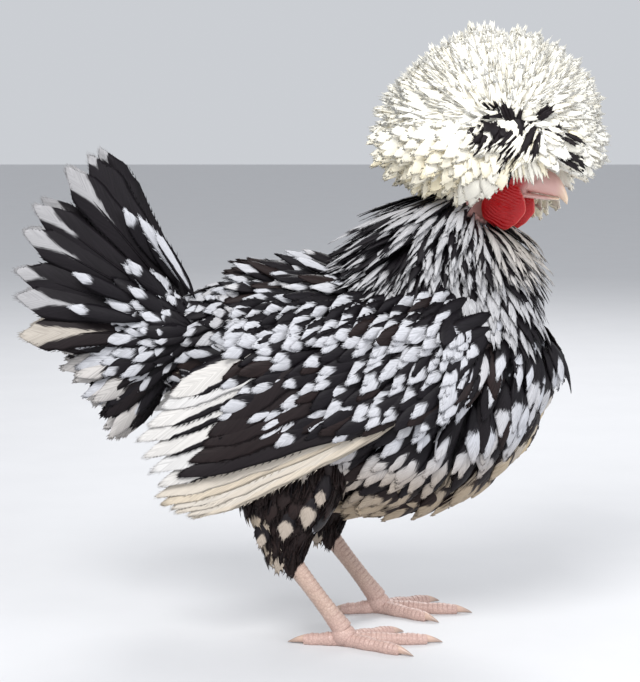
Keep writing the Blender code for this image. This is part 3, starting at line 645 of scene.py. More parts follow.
class Coat:
    """Feathers gathered for one set of pieces: batches of tufts that share a list of faces."""

    def __init__(self):
        self.batches = []

    def gather(self, points, vane, marks, spot, faces):
        patch = np.asarray(spot, float)[:, None] + (np.clip(vane, 0, 1) - 0.5) * PATCH
        marks = np.broadcast_to(np.asarray(marks, float)[:, None], (*points.shape[:2], 3))
        self.batches.append((points, vane, marks, patch, faces))

    def vanes(self, kind, root, bend, tip, out, width, marks, spot, rng, columns=7, cup=0.25, ragged=0.012,
              fringe=10, barb=1.4, torn=0.06, splay=1.0, twist=0.12):
        """One feather for each row of root, bend and tip: a thin closed vane, and loose barbs round its rim.

        A point of the vane is its shaft's curve at s, less the lag times the square of its share across, plus its
        side direction times share, row width and half the feather's width, less its upper direction times cup, the
        share squared and the same width. The keel runs a little below the shaft.
        """
        rows = np.array(VANES[kind])
        number, count = len(root), len(rows)
        width = np.broadcast_to(np.asarray(width, float), (number,))
        x = np.linspace(-1, 1, columns)
        jag = ragged * rng.uniform(-1, 1, (number, count, columns)) * (rows[:, 0] ** 2)[None, :, None]
        s = np.maximum(rows[:, 0][:, None] - rows[:, 2][:, None] * x ** 2 + jag, 0)
        half = rows[:, 1] * width[:, None] / 2 * (1 - torn * rng.uniform(0, 1, (number, count)))
        at, along, side, up = shaft_frame(root, bend, tip, out, s)
        across = x * half[..., None]
        skew = rng.uniform(-twist, twist, (number, 1, 1)) * across
        top = at + side * across[..., None] + up * (skew - cup * x * x * half[..., None])[..., None]
        line = np.broadcast_to(rows[:, 0], (number, count))
        middle, _, _, over = shaft_frame(root, bend, tip, out, line)
        keel = middle - over * THICK
        points = np.concatenate([top, keel[:, :, None]], 2).reshape(number, -1, 3)
        u = 0.5 + 0.5 * np.concatenate([x[None] * rows[:, 1][:, None], np.zeros((count, 1))], 1)
        u = np.broadcast_to(u, (number, count, columns + 1))
        v = np.concatenate([s, line[..., None]], 2)
        self.gather(points, np.stack([u, v], -1).reshape(number, -1, 2), marks, spot, vane_faces(count, columns))
        if not fringe:
            return
        foot, across, lean = (np.broadcast_to(a, (number, fringe)) for a in rim(kind, fringe))
        wild = rng.uniform(-1, 1, (3, number, fringe))
        at, along, side, up = shaft_frame(root, bend, tip, out, foot)
        reach = across * width[:, None] / 2
        drop = cup * np.abs(across) * np.abs(reach)
        lean = (lean + 0.14 * wild[0]) * splay
        way = along * np.cos(lean)[..., None] + side * np.sin(lean)[..., None]
        flank = np.cross(up, way)
        base = at + side * (reach * 0.94)[..., None] - up * drop[..., None] - way * 0.9
        broad = (width[:, None] * 1.5 / fringe * (1 + 0.3 * wild[1]))[..., None]
        end = base + way * (0.9 + barb * (1 + 0.5 * wild[2]))[..., None] - up * 0.15
        points = np.stack([base + flank * broad / 2, base - flank * broad / 2, base - up * 0.3, end], 2)
        vane = np.stack([0.5 + 0.5 * across, foot], -1)
        vane = np.broadcast_to(vane[:, :, None], (number, fringe, 4, 2))
        self.gather(points.reshape(number, -1, 3), vane.reshape(number, -1, 2), marks, spot,
                    repeated(BARB_FACES, fringe, 4))

    def down(self, root, bend, tip, out, width, marks, spot, rng, blades=7, thick=0.3):
        """Loose plumes: blades that rise from one root and fan out to a ragged end, each a three-sided spindle."""
        number = len(root)
        width = np.broadcast_to(np.asarray(width, float), (number,))
        x1 = np.linspace(-1, 1, blades) + rng.uniform(-0.2, 0.2, (number, blades))
        s1 = 1 - 0.2 * np.abs(x1) ** 1.6 + rng.uniform(-0.13, 0.05, (number, blades))
        t = DOWN_ROWS[:, 0]
        s = 0.03 + (s1 - 0.03)[..., None] * t
        x = x1[..., None] * (0.1 + 0.9 * t ** 0.8)
        at, _, side, up = shaft_frame(root, bend, tip, out, s)
        wide = width[:, None, None] / 2
        lift = rng.uniform(-1, 1, (number, blades))[..., None] * t * width[:, None, None] * 0.07
        centre = at + side * (x * wide)[..., None] + up * (lift - 0.2 * x * x * wide)[..., None]
        broad = (1.25 / blades) * wide * DOWN_ROWS[:, 1]
        ring = slice(1, 4)
        left = centre[:, :, ring] + side[:, :, ring] * broad[:, :, ring, None]
        right = centre[:, :, ring] - side[:, :, ring] * broad[:, :, ring, None]
        keel = centre[:, :, ring] - up[:, :, ring] * (thick * DOWN_ROWS[ring, 1])[:, None]
        rings = np.stack([right, left, keel], 3).reshape(number, blades, 9, 3)
        points = np.concatenate([centre[:, :, :1], rings, centre[:, :, 4:]], 2).reshape(number, -1, 3)
        index = np.array([0, 1, 1, 1, 2, 2, 2, 3, 3, 3, 4])
        vane = np.stack([0.5 + 0.5 * x[:, :, index], s[:, :, index]], -1).reshape(number, -1, 2)
        self.gather(points, vane, marks, spot, repeated(DOWN_FACES, blades, 11))

    def pieces(self, name, finish, slot):
        """The coat as closed meshes under the limit of triangles. Every piece takes its share of each batch."""
        total = sum(len(batch[0]) * len(batch[4]) for batch in self.batches)
        parts = math.ceil(total / PIECE_LIMIT)
        made = []
        for k in range(parts):
            cuts = []
            for batch in self.batches:
                number = len(batch[0])
                share = slice(number * k // parts, number * (k + 1) // parts)
                cuts.append([values[share] for values in batch[:4]] + [batch[4]])
            made.append(coat_piece(name if parts == 1 else f"{name}_{k + 1}", cuts, finish))
        return made


# Where a down blade's rings stand along it, and how wide they are there.
DOWN_ROWS = np.array([(0, 0), (0.10, 0.55), (0.48, 1), (0.84, 0.6), (1, 0)], float)
DOWN_FACES = np.array(
    [(0, 2, 1), (0, 3, 2), (0, 1, 3)]
    + [face for r in (1, 4) for i, j in ((0, 1), (1, 2), (2, 0))
       for face in ((r + i, r + j, r + 3 + j), (r + i, r + 3 + j, r + 3 + i))]
    + [(7, 8, 10), (8, 9, 10), (9, 7, 10)])
# How wide a feather's own patch of the baking map is.
PATCH = 0.003


def coat_piece(name, cuts, finish):
    """Puts whole arrays of points, faces, two maps and a colour attribute into one mesh."""
    points, faces, vanes, marks, patches, base = [], [], [], [], [], 0
    for at, vane, mark, patch, pattern in cuts:
        number, size = at.shape[:2]
        faces.append(repeated(pattern, number, size) + base)
        points.append(at.reshape(-1, 3))
        vanes.append(vane.reshape(-1, 2))
        marks.append(mark.reshape(-1, 3))
        patches.append(np.clip(patch, 0.001, 0.999).reshape(-1, 2))
        base += number * size
    points, faces, vanes, marks, patches = (np.concatenate(a) for a in (points, faces, vanes, marks, patches))
    data = bpy.data.meshes.new(name)
    data.vertices.add(len(points))
    data.vertices.foreach_set("co", place(points).astype(np.float32).ravel())
    data.loops.add(faces.size)
    data.loops.foreach_set("vertex_index", faces.astype(np.int32).ravel())
    data.polygons.add(len(faces))
    data.polygons.foreach_set("loop_start", np.arange(0, faces.size, 3, dtype=np.int32))
    data.polygons.foreach_set("use_smooth", np.ones(len(faces), bool))
    corners = faces.ravel()
    for label, values in (("Vane", vanes), ("OFBake", patches)):
        layer = data.uv_layers.new(name=label)
        layer.uv.foreach_set("vector", values[corners].astype(np.float32).ravel())
    layer = data.attributes.new("marks", "FLOAT_COLOR", "POINT")
    colours = np.concatenate([marks, np.ones((len(marks), 1))], 1)
    layer.data.foreach_set("color", colours.astype(np.float32).ravel())
    data.update(calc_edges=True)
    data.materials.append(FINISHES[finish])
    obj = linked(name, data)
    return obj


def torso_point(x, turn, inset):
    """A point of the torso's slices, drawn in by inset: the oval |y/w|^p + |z/h|^p = 1 about its middle."""
    top, bottom, width = rows_at(TORSO, x)
    middle = bottom + TORSO_WAIST * (top - bottom)
    up = np.sin(turn)
    high = np.where(up > 0, top - middle, middle - bottom)
    shrink = np.minimum(inset, 0.5 * np.minimum(high, width))
    c, s = np.cos(turn), up
    y = np.sign(c) * np.abs(c) ** (2 / TORSO_POWER) * (width - shrink)
    z = middle + np.sign(s) * np.abs(s) ** (2 / TORSO_POWER) * (high - shrink)
    return np.stack([x + 0 * turn, y, z], -1)


def torso_normal(x, turn, inset):
    """The way out of the torso: the cross of its lengthwise and its round step, turned to face outwards."""
    ahead = (torso_point(np.clip(x + 0.5, -76, 174), turn, inset)
             - torso_point(np.clip(x - 0.5, -76, 174), turn, inset))
    round_ = torso_point(x, turn + 0.02, inset) - torso_point(x, turn - 0.02, inset)
    normal = unit(np.cross(ahead, round_))
    top, bottom, _ = rows_at(TORSO, x)
    away = torso_point(x, turn, inset) - np.stack([x, 0 * x, (top + bottom) / 2], -1)
    away[:, 0] = np.where(x > 140, x - 140, np.where(x < -40, x + 40, 0))
    return normal * np.where((normal * away).sum(-1) < 0, -1, 1)[:, None]


def torso_depth(points):
    """How deep places lie in the coat's outline: the slice's own oval measure, one on the outline, less inside."""
    x = np.clip(points[:, 0], -74, 172)
    top, bottom, width = rows_at(TORSO, x)
    middle = bottom + TORSO_WAIST * (top - bottom)
    y, z = points[:, 1], points[:, 2] - middle
    high = np.where(z > 0, top - middle, middle - bottom)
    measure = ((np.abs(y) / width) ** TORSO_POWER + (np.abs(z) / high) ** TORSO_POWER) ** (1 / TORSO_POWER)
    return np.maximum(measure, 1e-3), 0.5 * (width + high), middle


def to_torso(points, clear):
    """Points moved in their torso slice, straight from its middle, to stand off the coat's outline by clear."""
    measure, size, middle = torso_depth(points)
    push = np.clip((1 + clear / size) / measure, 0.4, 2.5)
    return np.stack([points[:, 0], points[:, 1] * push, middle + (points[:, 2] - middle) * push], -1)


def spread_torso(count):
    """Places along and around the torso, spread evenly over its area: an even pair mapped through the share of
    area that lies behind each slice, and then through the share of the slice's rim."""
    xs = np.linspace(-75, 173, 160)
    turns = np.linspace(0, 2 * math.pi, 181)
    grid = torso_point(xs[:, None] + 0 * turns, turns[None, :] + 0 * xs[:, None], 0.0)
    step = np.linalg.norm(np.diff(grid, axis=1), axis=2)
    girth = step.sum(1)
    slope = np.gradient(girth / (2 * math.pi), xs)
    area = np.cumsum(girth * np.sqrt(1 + slope ** 2))
    a, b = quasi(count)
    x = np.interp(a, area / area[-1], xs)
    row = np.clip(np.searchsorted(xs, x), 0, len(xs) - 1)
    share = np.concatenate([np.zeros((len(xs), 1)), np.cumsum(step, axis=1) / girth[:, None]], 1)
    turn = np.empty(count)
    for k in np.unique(row):
        mine = row == k
        turn[mine] = np.interp(b[mine], share[k], turns)
    return x, turn


def body_coat():
    """Contour feathers over the torso. They lie back along the body, and down over the breast and flanks."""
    rng = np.random.default_rng(SEED)
    coat = Coat()
    x, turn = spread_torso(BODY_FEATHERS)
    up = np.sin(turn)
    back = ease(0.5, 0.9, up)
    breast = ease(84, 128, x) * (1 - back * ease(150, 110, x))
    size = 1 - 0.26 * back * (1 - breast) - 0.14 * ease(20, -40, x) + 0.12 * breast
    keep = rng.uniform(0, 1, len(x)) < (0.66 / size) ** 2
    keep &= ~((np.abs(np.cos(turn)) > 0.7) & (x > 4) & (x < 66) & (up < 0.5) & (up > -0.15))
    keep &= x > -62
    x, turn, up, back, breast, size = picked(keep, x, turn, up, back, breast, size)
    count = len(x)
    wild = rng.uniform(-1, 1, (7, count))
    root = torso_point(x, turn, COAT)
    normal = torso_normal(x, turn, COAT)
    fall = np.radians(8 + 26 * ease(-10, 70, x) + 50 * ease(70, 140, x))
    fall = fall * (1 - 0.7 * back) + np.radians(9) * wild[0]
    lie = np.stack([-np.cos(fall), 0 * x, -np.sin(fall)], -1)
    front = ease(150, 172, x)[:, None]
    lie = unit(lie * (1 - front) + np.array([0.05, 0, -1.0]) * front)
    lie = unit(lie - normal * (lie * normal).sum(-1, keepdims=True))
    lie = unit(lie + np.cross(normal, lie) * (0.22 * wild[1])[:, None])
    rough = rng.uniform(0, 1, count) ** 2
    hump = ease(-18, 2, x) * ease(64, 44, x) * ease(0.5, 0.85, up)
    length = 37 * size ** 0.8 + 4 * wild[2] + 12 * hump - 3 * ease(140, 165, x)
    belly = ease(-0.45, -0.9, up)
    stand = 0.3 + 2.6 * rough + 15.0 * hump * rng.uniform(0.15, 1, count)
    stand += 6.0 * belly * ease(20, 60, x) * rng.uniform(0.1, 1, count)
    stand *= 1 - 0.6 * ease(138, 160, x)
    end = root + lie * length[:, None]
    tip = to_torso(end, 0.0) + normal * (stand - 1.0)[:, None]
    behind = end[:, 0] < -62
    tip = np.where(behind[:, None], end + normal * (COAT - 1.5), tip)
    bend = root + lie * (length * 0.42)[:, None] + normal * (COAT * 0.9 + stand * 0.25)[:, None]
    width = (13.5 + 1.5 * wild[3]) * size - 2.0 * breast - 1.5 * hump
    rump = ease(-20, -60, x)
    shoulder = ease(30, 64, x) * ease(112, 84, x) * ease(-0.2, 0.3, up) * ease(0.95, 0.7, up)
    tipped = 0.33 + 0.11 * wild[4] + 0.08 * breast + 0.14 * shoulder - 0.08 * hump
    plain = (rng.uniform(0, 1, count) < 0.2 + 0.25 * hump + 0.2 * ease(-0.1, -0.5, up)) & (belly < 0.5)
    tipped = np.where(plain, 0.0, tipped)
    tipped = np.where(rng.uniform(0, 1, count) < 0.06, 0.6, tipped)
    tipped = np.clip(tipped + 0.02 * belly * ease(30, 80, x), 0, 0.9)
    warm = np.clip(0.03 + 0.14 * rng.uniform(0, 1, count) ** 2 + 1.0 * belly * ease(0, 50, x), 0, 1)
    warm = np.where(plain & (rng.uniform(0, 1, count) < 0.5), 0.8, warm)
    marks = np.stack([tipped, warm, rng.uniform(0, 1, count)], -1)
    spot = np.stack([0.04 + 0.92 * (turn / (2 * math.pi)), 0.04 + 0.92 * (x + 77) / 252], -1)
    pointed = (x > 132) & (up > -0.1)
    aside = np.sign(normal[:, 1]) * (0.9 * hump + 0.3 * back + 0.6 * belly)
    out = unit(normal + np.stack([0 * x, aside, 0 * x], -1))
    for kind, mine in (("contour", ~pointed), ("breast", pointed)):
        coat.vanes(kind, *picked(mine, root, bend, tip, out, width, marks, spot), rng, cup=0.35)
    fluff = ((belly > 0.5) & (wild[5] > 0.5)) | (rump * ease(0.2, -0.4, up) > 0.3)
    tip = root * 0.12 + tip * 0.88
    marks = np.stack([np.where(x > 20, 1.0, 0.2), np.full(count, 0.7), rng.uniform(0, 1, count)], -1)
    coat.down(root[fluff], bend[fluff], tip[fluff], normal[fluff], 16.0, marks[fluff], spot[fluff], rng)
    return coat.pieces("body_feathers", "body", "mottled_feather")


def neck_skin_point(height, turn, share):
    """A point of the neck's slices, its half length and half width taken times share."""
    x, length, width = rows_at(NECK, height)
    return np.stack([x + share * length * np.cos(turn), share * width * np.sin(turn), height + 0 * turn], -1)


def line_height(x):
    """How low the crest comes at a place along X: a straight line between its two ends."""
    (x0, z0), (x1, z1) = CREST_LINE
    return z0 + (z1 - z0) * (x - x0) / (x1 - x0)


def raised(tip, least, clear, rng):
    """Tips that lie inside the torso's upper coat by its measure, moved out to stand off it by clear or more."""
    measure, _, middle = torso_depth(tip)
    sunk = (measure < least) & (tip[:, 2] > middle)
    return np.where(sunk[:, None], to_torso(tip, clear + 2.5 * rng.uniform(0, 1, len(tip))), tip)


def hackle_coat():
    """Long narrow hackles, from under the crest down over the shoulders, whose tips stand loose of the neck."""
    rng = np.random.default_rng(SEED + 1)
    coat = Coat()
    count = HACKLES
    a, b = quasi(count)
    height = 306 - 80 * a ** 0.9
    turn = b * 2 * math.pi
    wild = rng.uniform(-1, 1, (8, count))
    way = round_way(turn)
    root = neck_skin_point(height, turn, NECK_SKIN)
    root[:, 2] -= 8 * in_throat(root)
    back = ease(0.2, -0.8, way[:, 0])
    ahead = ease(-0.5, 0.2, way[:, 0])
    fall = (43 - 17 * ease(268, 300, height) + 8 * wild[0]) * (1 - 0.3 * back) * (1 - 0.25 * ahead)
    low = root[:, 2] - fall * 0.93
    tip = neck_skin_point(np.clip(low, 196, 306), turn + 0.14 * wild[2], 1.02 + 0.09 * wild[1])
    tip[:, 2] = low
    tip[:, 0] -= 11 * back * (1 + 0.8 * wild[3])
    tip = raised(tip, 1.03, 1.0, rng)
    root[:, 2] = np.maximum(root[:, 2], tip[:, 2] + 8)
    out = unit(way + np.array([0, 0, 0.3]) + np.cross(way, [0, 0, 1]) * (0.25 * wild[6])[:, None])
    bend = root * 0.5 + tip * 0.5 + way * (7 + 3 * wild[4])[:, None] + np.array([0, 0, 3.0])
    keep = root[:, 2] < line_height(root[:, 0]) + 9
    keep &= height > 226 + 40 * ahead
    keep &= ~(in_throat(tip) | in_throat(root * 0.25 + tip * 0.75) | in_throat((root + tip) / 2))
    front = ease(0.2, 0.9, way[:, 0])
    warm = np.clip(0.08 + 0.3 * front * ease(250, 285, height), 0, 1)
    chance = rng.uniform(0, 1, count)
    high = ease(276, 292, height)
    share = 0.42 + 0.22 * high + 0.14 * front
    tipped = np.where(chance < share, 0.38 + 0.2 * wild[5] + 0.25 * high, 0.0) + 0.2 * (chance > 0.8)
    p = to_head(root)
    throat = np.exp(-((p[:, 0] - 12) / 22) ** 2 - ((p[:, 2] + 40) / 20) ** 2)
    tipped = np.where(chance < 0.85 * throat, 0.9, tipped)
    marks = np.stack([np.clip(tipped, 0, 1), warm, rng.uniform(0, 1, count)], -1)
    spot = np.stack([0.04 + 0.92 * b, 0.04 + 0.92 * (height - 220) / 84], -1)
    width = 6.8 + 1.4 * wild[7]
    coat.vanes("hackle", *picked(keep, root, bend, tip, out, width, marks, spot), rng, columns=5, cup=0.3,
               ragged=0.04, fringe=10, barb=2.6, torn=0.15, splay=0.6)
    neck_contours(coat, rng)
    return coat.pieces("neck_hackles", "hackle", "mottled_feather")


def in_throat(points):
    """Whether places lie in the room behind and below the wattles, where bare skin shows."""
    p = to_head(points)
    return ((p[:, 0] - 10) / 20) ** 2 + ((p[:, 2] + 26) / 20) ** 2 < 1


def neck_contours(coat, rng):
    """Broader round-tipped feathers at the neck's foot, where the hackles pass into the breast's coat."""
    count = NECK_CONTOURS
    a, b = quasi(count, 5)
    height = 278 - 56 * a
    turn = (b - 0.5) * 1.5 * math.pi
    wild = rng.uniform(-1, 1, (6, count))
    way = round_way(turn)
    root = neck_skin_point(height, turn, NECK_SKIN + 0.12)
    front = ease(0.3, 0.9, way[:, 0]) * ease(0.5, 0.9, a)
    low = height - 29 - 4 * wild[0] - 10 * front
    tip = neck_skin_point(np.clip(low, 196, 306), turn + 0.1 * wild[1], 0.99 + 0.05 * wild[2])
    tip[:, 2] = low
    tip[:, 0] += 6 * front
    tip = raised(tip, 1.02, 0.5, rng)
    bend = root * 0.5 + tip * 0.5 + way * (6 + 2 * wild[3])[:, None] + np.array([0, 0, 3.0])
    out = unit(way + np.array([0, 0, 0.3]) + np.cross(way, [0, 0, 1]) * (0.15 * wild[4])[:, None])
    pale = np.exp(-((root[:, 0] - 118) / 14) ** 2 - ((low - 222) / 16) ** 2)
    tipped = np.where(rng.uniform(0, 1, count) < 0.34 - 0.4 * pale, 0.0, 0.40 + 0.14 * wild[5] + 0.3 * pale)
    marks = np.stack([tipped, np.full(count, 0.08), rng.uniform(0, 1, count)], -1)
    spot = np.stack([0.04 + 0.92 * b, 0.04 + 0.4 * a], -1)
    keep = ~(in_throat(tip) | in_throat(root) | in_throat((root + tip) / 2))
    coat.vanes("breast", *picked(keep, root, bend, tip, out), rng.uniform(8.5, 12.5, keep.sum()),
               *picked(keep, marks, spot), rng, cup=0.35, fringe=12, barb=2.0)


# Rooms that the crest leaves open, in the head's frame: place along and up, and how far each reaches there. The
# first is the bill's, which is narrower on the far side.
FACE_ROOMS = [(45, -14, 36, 21), (17, -14, 15, 7), (9, -27, 17, 14)]


def in_face(points):
    """Whether places lie in the rooms before the face."""
    p = to_head(points)
    near = p[:, 1] < 0
    inside = np.zeros(len(p), bool)
    for x, z, wide, high in FACE_ROOMS:
        inside |= near & (((p[:, 0] - x) / wide) ** 2 + ((p[:, 2] - z) / high) ** 2 < 1)
    x, z, wide, _ = FACE_ROOMS[0]
    return inside | (((p[:, 0] - x) / wide) ** 2 + (p[:, 1] / 17) ** 2 + ((p[:, 2] - z) / 16) ** 2 < 1)


CREST_TUFTS = 300
# Dark places on the crest's near side: along X, up Z, how far they reach each way, and the share of dark feathers.
BROW = [
    (118, 331, 6, 9, 0.8), (129, 330, 8, 10, 0.7), (131, 350, 3.5, 6, 0.4), (141, 334, 9, 12, 0.15),
    (154, 328, 8, 9, 0.6), (162, 349, 8, 5, 0.2), (170, 337, 4, 4, 0.6), (178, 330, 9, 6, 0.1),
    (178, 314, 10, 5, 0.15), (134, 312, 5, 6, 0.3),
]


def brow_share(seen):
    """The share of dark feathers at places on the crest: the largest of the ovals that hold the place."""
    share = np.zeros(len(seen))
    for x, z, wide, high, dark in BROW:
        inside = ((seen[:, 0] - x) / wide) ** 2 + ((seen[:, 2] - z) / high) ** 2 < 1
        share = np.maximum(share, inside * dark)
    return share


def ball_ways(up):
    """Ways at these heights on a ball, each turned on from the one before by the golden angle, and their turns."""
    turn = (np.arange(len(up)) + 0.5) * math.pi * (3 - math.sqrt(5))
    level = np.sqrt(1 - up ** 2)
    return np.stack([level * np.cos(turn), level * np.sin(turn), up], -1), turn


def crest_layer(coat, rng, count, low, high, width, kind):
    """Crest feathers that rise from the skull's knob and fall open into a globe.

    Their ways are spread evenly over a ball by the golden angle, and a tip stands on the globe, stretched below
    into the jowls. On either side the feathers part from a whorl. Near it a feather's end lies along the globe and
    away from the whorl, and the nearer it is to the middle plane the more it stands straight out. Neighbouring
    tips are drawn together in tufts, and the nearer a feather is to its tuft's middle, the further it reaches.
    """
    up = 1 - 2 * quasi(count)[0]
    way, turn = ball_ways(up)
    tufts, _ = ball_ways(1 - 2 * (np.arange(CREST_TUFTS) + 0.5) / CREST_TUFTS)
    tufts = unit(tufts + rng.normal(0, 0.04, tufts.shape))
    nearest = tufts[np.argmax(way @ tufts.T, axis=1)]
    whorl = unit(stacked(0.08, np.sign(way[:, 1]), 0.02))
    toward = (way * whorl).sum(-1, keepdims=True)
    rim = np.sqrt(np.maximum(1 - toward ** 2, 0))
    pull = 0.15 + 0.35 * rim ** 12
    drawn = unit(way * (1 - pull) + nearest * pull)
    aside = np.minimum(np.linalg.norm(way - nearest, axis=1), 0.14)
    tuft_far = 1 + 0.02 * np.sin(nearest @ np.array([37.0, 61.0, 83.0])) - 0.9 * aside * rim[:, 0] ** 14
    far = rng.uniform(low, high, count) * tuft_far
    far = far - 0.12 * ease(0.80, 1.0, drawn @ unit(CREST_SLOPE))
    full = np.stack([1 + CREST_JOWL * np.maximum(0, -drawn[:, 2])] * 2 + [0 * far + 1], -1)
    tip = CREST_AT + CREST_OUTER * drawn * full * far[:, None]
    tip[:, 2] = np.maximum(tip[:, 2], line_height(tip[:, 0]) + rng.uniform(-7, 7, count))
    rise = unit(way + np.array([0, 0, CREST_RISE]))
    root = CREST_KNOB_AT + CREST_KNOB * rise
    stand = 0.10 + 0.60 * rim ** 10
    parted = ease(0.0, 0.4, np.abs(way[:, 1]))[:, None]
    flow = unit(way * toward - whorl) * (1 - stand) * parted + way * stand
    flow = unit(unit(flow) + rng.normal(0, 0.07, (count, 3)))
    petal = (up < -0.12) & (way[:, 0] < 0.75)
    long = np.where(petal, 26.0, 38.0) * rng.uniform(0.85, 1.1, count)
    tip = tip + rng.normal(0, 0.6, (count, 3))
    bend = tip - flow * long[:, None]
    near_tip = tip * 0.7 + bend * 0.3
    face = in_face(tip) | in_face(near_tip) | in_face((tip + bend) / 2) | in_face(bend * 0.8 + root * 0.2)
    out = way * (1 - 0.8 * rim ** 4) + whorl * rim ** 2 * 0.8
    out = out + rng.normal(0, 1, (count, 3)) * (0.05 + 0.3 * (1 - parted))
    near = ease(0.15, 0.5, -way[:, 1])
    chance = rng.uniform(0, 1, count)
    black = chance < brow_share(tip * 0.8 + bend * 0.2) * near
    below = ease(345, 290, tip[:, 2]) * ease(175, 120, tip[:, 0])
    warm = 0.12 + 0.25 * rng.uniform(0, 1, count) ** 2 + below * (0.25 + 0.5 * rng.uniform(0, 1, count))
    tipped = np.where(black, np.where(chance < 0.3, 0.0, 0.12), 1.0)
    marks = np.stack([tipped, np.where(black, 0.25, warm), rng.uniform(0, 1, count)], -1)
    around = (turn / (2 * math.pi)) % 1
    spot = np.stack([0.04 + 0.92 * around, 0.04 + 0.92 * (np.arcsin(up) / math.pi + 0.5)], -1)
    wide = rng.uniform(*width, count)
    keep = ~face & ((kind == "base") | ((kind == "down") & ~(petal & (wide > 7.0))) | (petal == (kind == "petal")))
    given = (*picked(keep, root, bend, tip, out, wide, marks, spot), rng)
    if kind == "down":
        coat.down(*given, blades=5)
    elif kind == "petal":
        coat.vanes("contour", *given, cup=0.15, fringe=8, barb=2.0, torn=0.1, splay=0.6)
    elif kind == "base":
        coat.vanes("crest", *given, cup=0.2, fringe=0)
    else:
        coat.vanes("crest", *given, cup=0.1, ragged=0.02, fringe=6, barb=4.0, torn=0.08, splay=0.15)


# Strands that hang over the brow and the face: root and tip along X and up Z, how many, how far apart their tips
# are, width, the share of dark ones, and how far out the tips stand as a share of the crest's own surface, below
# nought for those on the far side.
STRANDS = [
    ((130, 338), (115, 325), 5, 9, 5.0, 1.0, 1.03), ((129, 339), (120, 324), 3, 5, 5.0, 0.6, 1.03),
    ((141, 341), (128, 322), 7, 10, 5.0, 1.0, 1.03), ((155, 344), (133, 323), 8, 12, 3.0, 0.5, 1.05),
    ((156, 340), (136, 314), 6, 10, 3.0, 0.5, 1.03), ((158, 339), (148, 318), 7, 10, 5.0, 0.9, 1.03),
    ((140, 340), (133, 354), 3, 4, 3.0, 1.0, 1.04), ((142, 341), (144, 351), 2, 3, 3.0, 0.8, 1.04),
    ((155, 343), (166, 352), 3, 4, 3.0, 0.9, 1.04), ((168, 338), (172, 342), 1, 1, 4.0, 1.0, 1.04),
    ((169, 322), (187, 313), 4, 7, 3.0, 0.9, 1.04), ((175, 334), (186, 328), 3, 6, 3.0, 0.7, 1.04),
    ((160, 336), (171, 330), 5, 9, 4.0, 0.3, 1.03),
    ((139, 322), (142, 304), 5, 10, 3.6, 0.2, 0.92), ((147, 321), (150, 305), 4, 7, 3.6, 0.0, 0.92),
    ((154, 320), (159, 306), 5, 9, 3.6, 0.0, 0.92), ((137, 320), (133, 309), 4, 6, 4.0, 0.6, 0.98),
    ((130, 322), (131, 301), 3, 5, 12.0, 0.0, 1.0), ((124, 322), (122, 294), 3, 7, 13.0, 0.0, 1.0),
    ((118, 316), (113, 290), 3, 7, 13.0, 0.0, 1.0),
    ((164, 310), (169, 281), 4, 17, 12.0, 0.0, -0.7), ((162, 310), (171, 278), 4, 20, 13.0, 0.0, -1.1),
    ((165, 308), (167, 283), 4, 18, 13.0, 0.0, -1.5),
]


def crest_surface(x, z):
    """How far from the middle plane the crest's surface lies, at places along X and up Z."""
    down = (z - CREST_AT[2]) / CREST_OUTER[2]
    full = 1 + CREST_JOWL * np.maximum(0, -down)
    inside = 1 - down ** 2 - ((x - CREST_AT[0]) / (CREST_OUTER[0] * full)) ** 2
    return CREST_OUTER[1] * full * np.sqrt(np.maximum(inside, 0.05))


def crest_strands(coat, rng):
    """Loose strands laid over the crest's sides, some of them dark, each bowed a little off its surface."""
    root, tip, many, spread, width, dark, proud = zip(*STRANDS)
    each = np.repeat(np.arange(len(STRANDS)), many)
    place_in = np.concatenate([np.linspace(-0.5, 0.5, n) if n > 1 else np.zeros(1) for n in many])
    root, tip = np.array(root, float)[each], np.array(tip, float)[each]
    spread, width, dark, proud = (np.array(a, float)[each] for a in (spread, width, dark, proud))
    side, proud = np.sign(proud), np.abs(proud)
    way = unit(tip - root)
    cross = np.stack([-way[:, 1], way[:, 0]], -1)
    count = len(each)
    wild = rng.uniform(-1, 1, (6, count))
    tip = tip + cross * (spread * (place_in + 0.12 * wild[0]))[:, None] + way * (2.5 * wild[1])[:, None]
    root = root + cross * (spread * 0.6 * place_in)[:, None] - way * (3 + 2 * wild[2])[:, None]
    middle = root * 0.45 + tip * 0.55 + cross * (1.5 * wild[3])[:, None]
    lines = []
    for line, share, more in ((root, 0.90 + 0 * proud, 0), (middle, proud, 3), (tip, proud, 0)):
        away = crest_surface(line[:, 0], line[:, 1]) * share + more + 1.0 * wild[4]
        lines.append(np.stack([line[:, 0], -side * np.minimum(away, 76), line[:, 1]], -1))
    chance = (np.arange(count) * 0.618 + 0.2) % 1
    black = chance < dark
    pale = np.where(black, np.where(chance < 0.3, 0.0, 0.2), 1.0)
    marks = np.stack([pale, np.where(black, 0.3, 0.3 + 0.4 * (wild[5] > 0.5)), rng.uniform(0, 1, count)], -1)
    spot = np.stack([0.05 + 0.9 * (lines[2][:, 0] - 100) / 90, 0.05 + 0.9 * (lines[2][:, 2] - 285) / 75], -1)
    out = unit(lines[1] - CREST_AT)
    broad = width > 8
    for mine, kind, fringe, barb in ((broad, "contour", 8, 2.0), (~broad, "hackle", 6, 2.5)):
        wide = width * rng.uniform(0.85, 1.2, count)
        coat.vanes(kind, *picked(mine, *lines, out, wide, marks, spot), rng, columns=5, cup=0.2, ragged=0.03,
                   fringe=fringe, barb=barb, torn=0.12, splay=0.4)


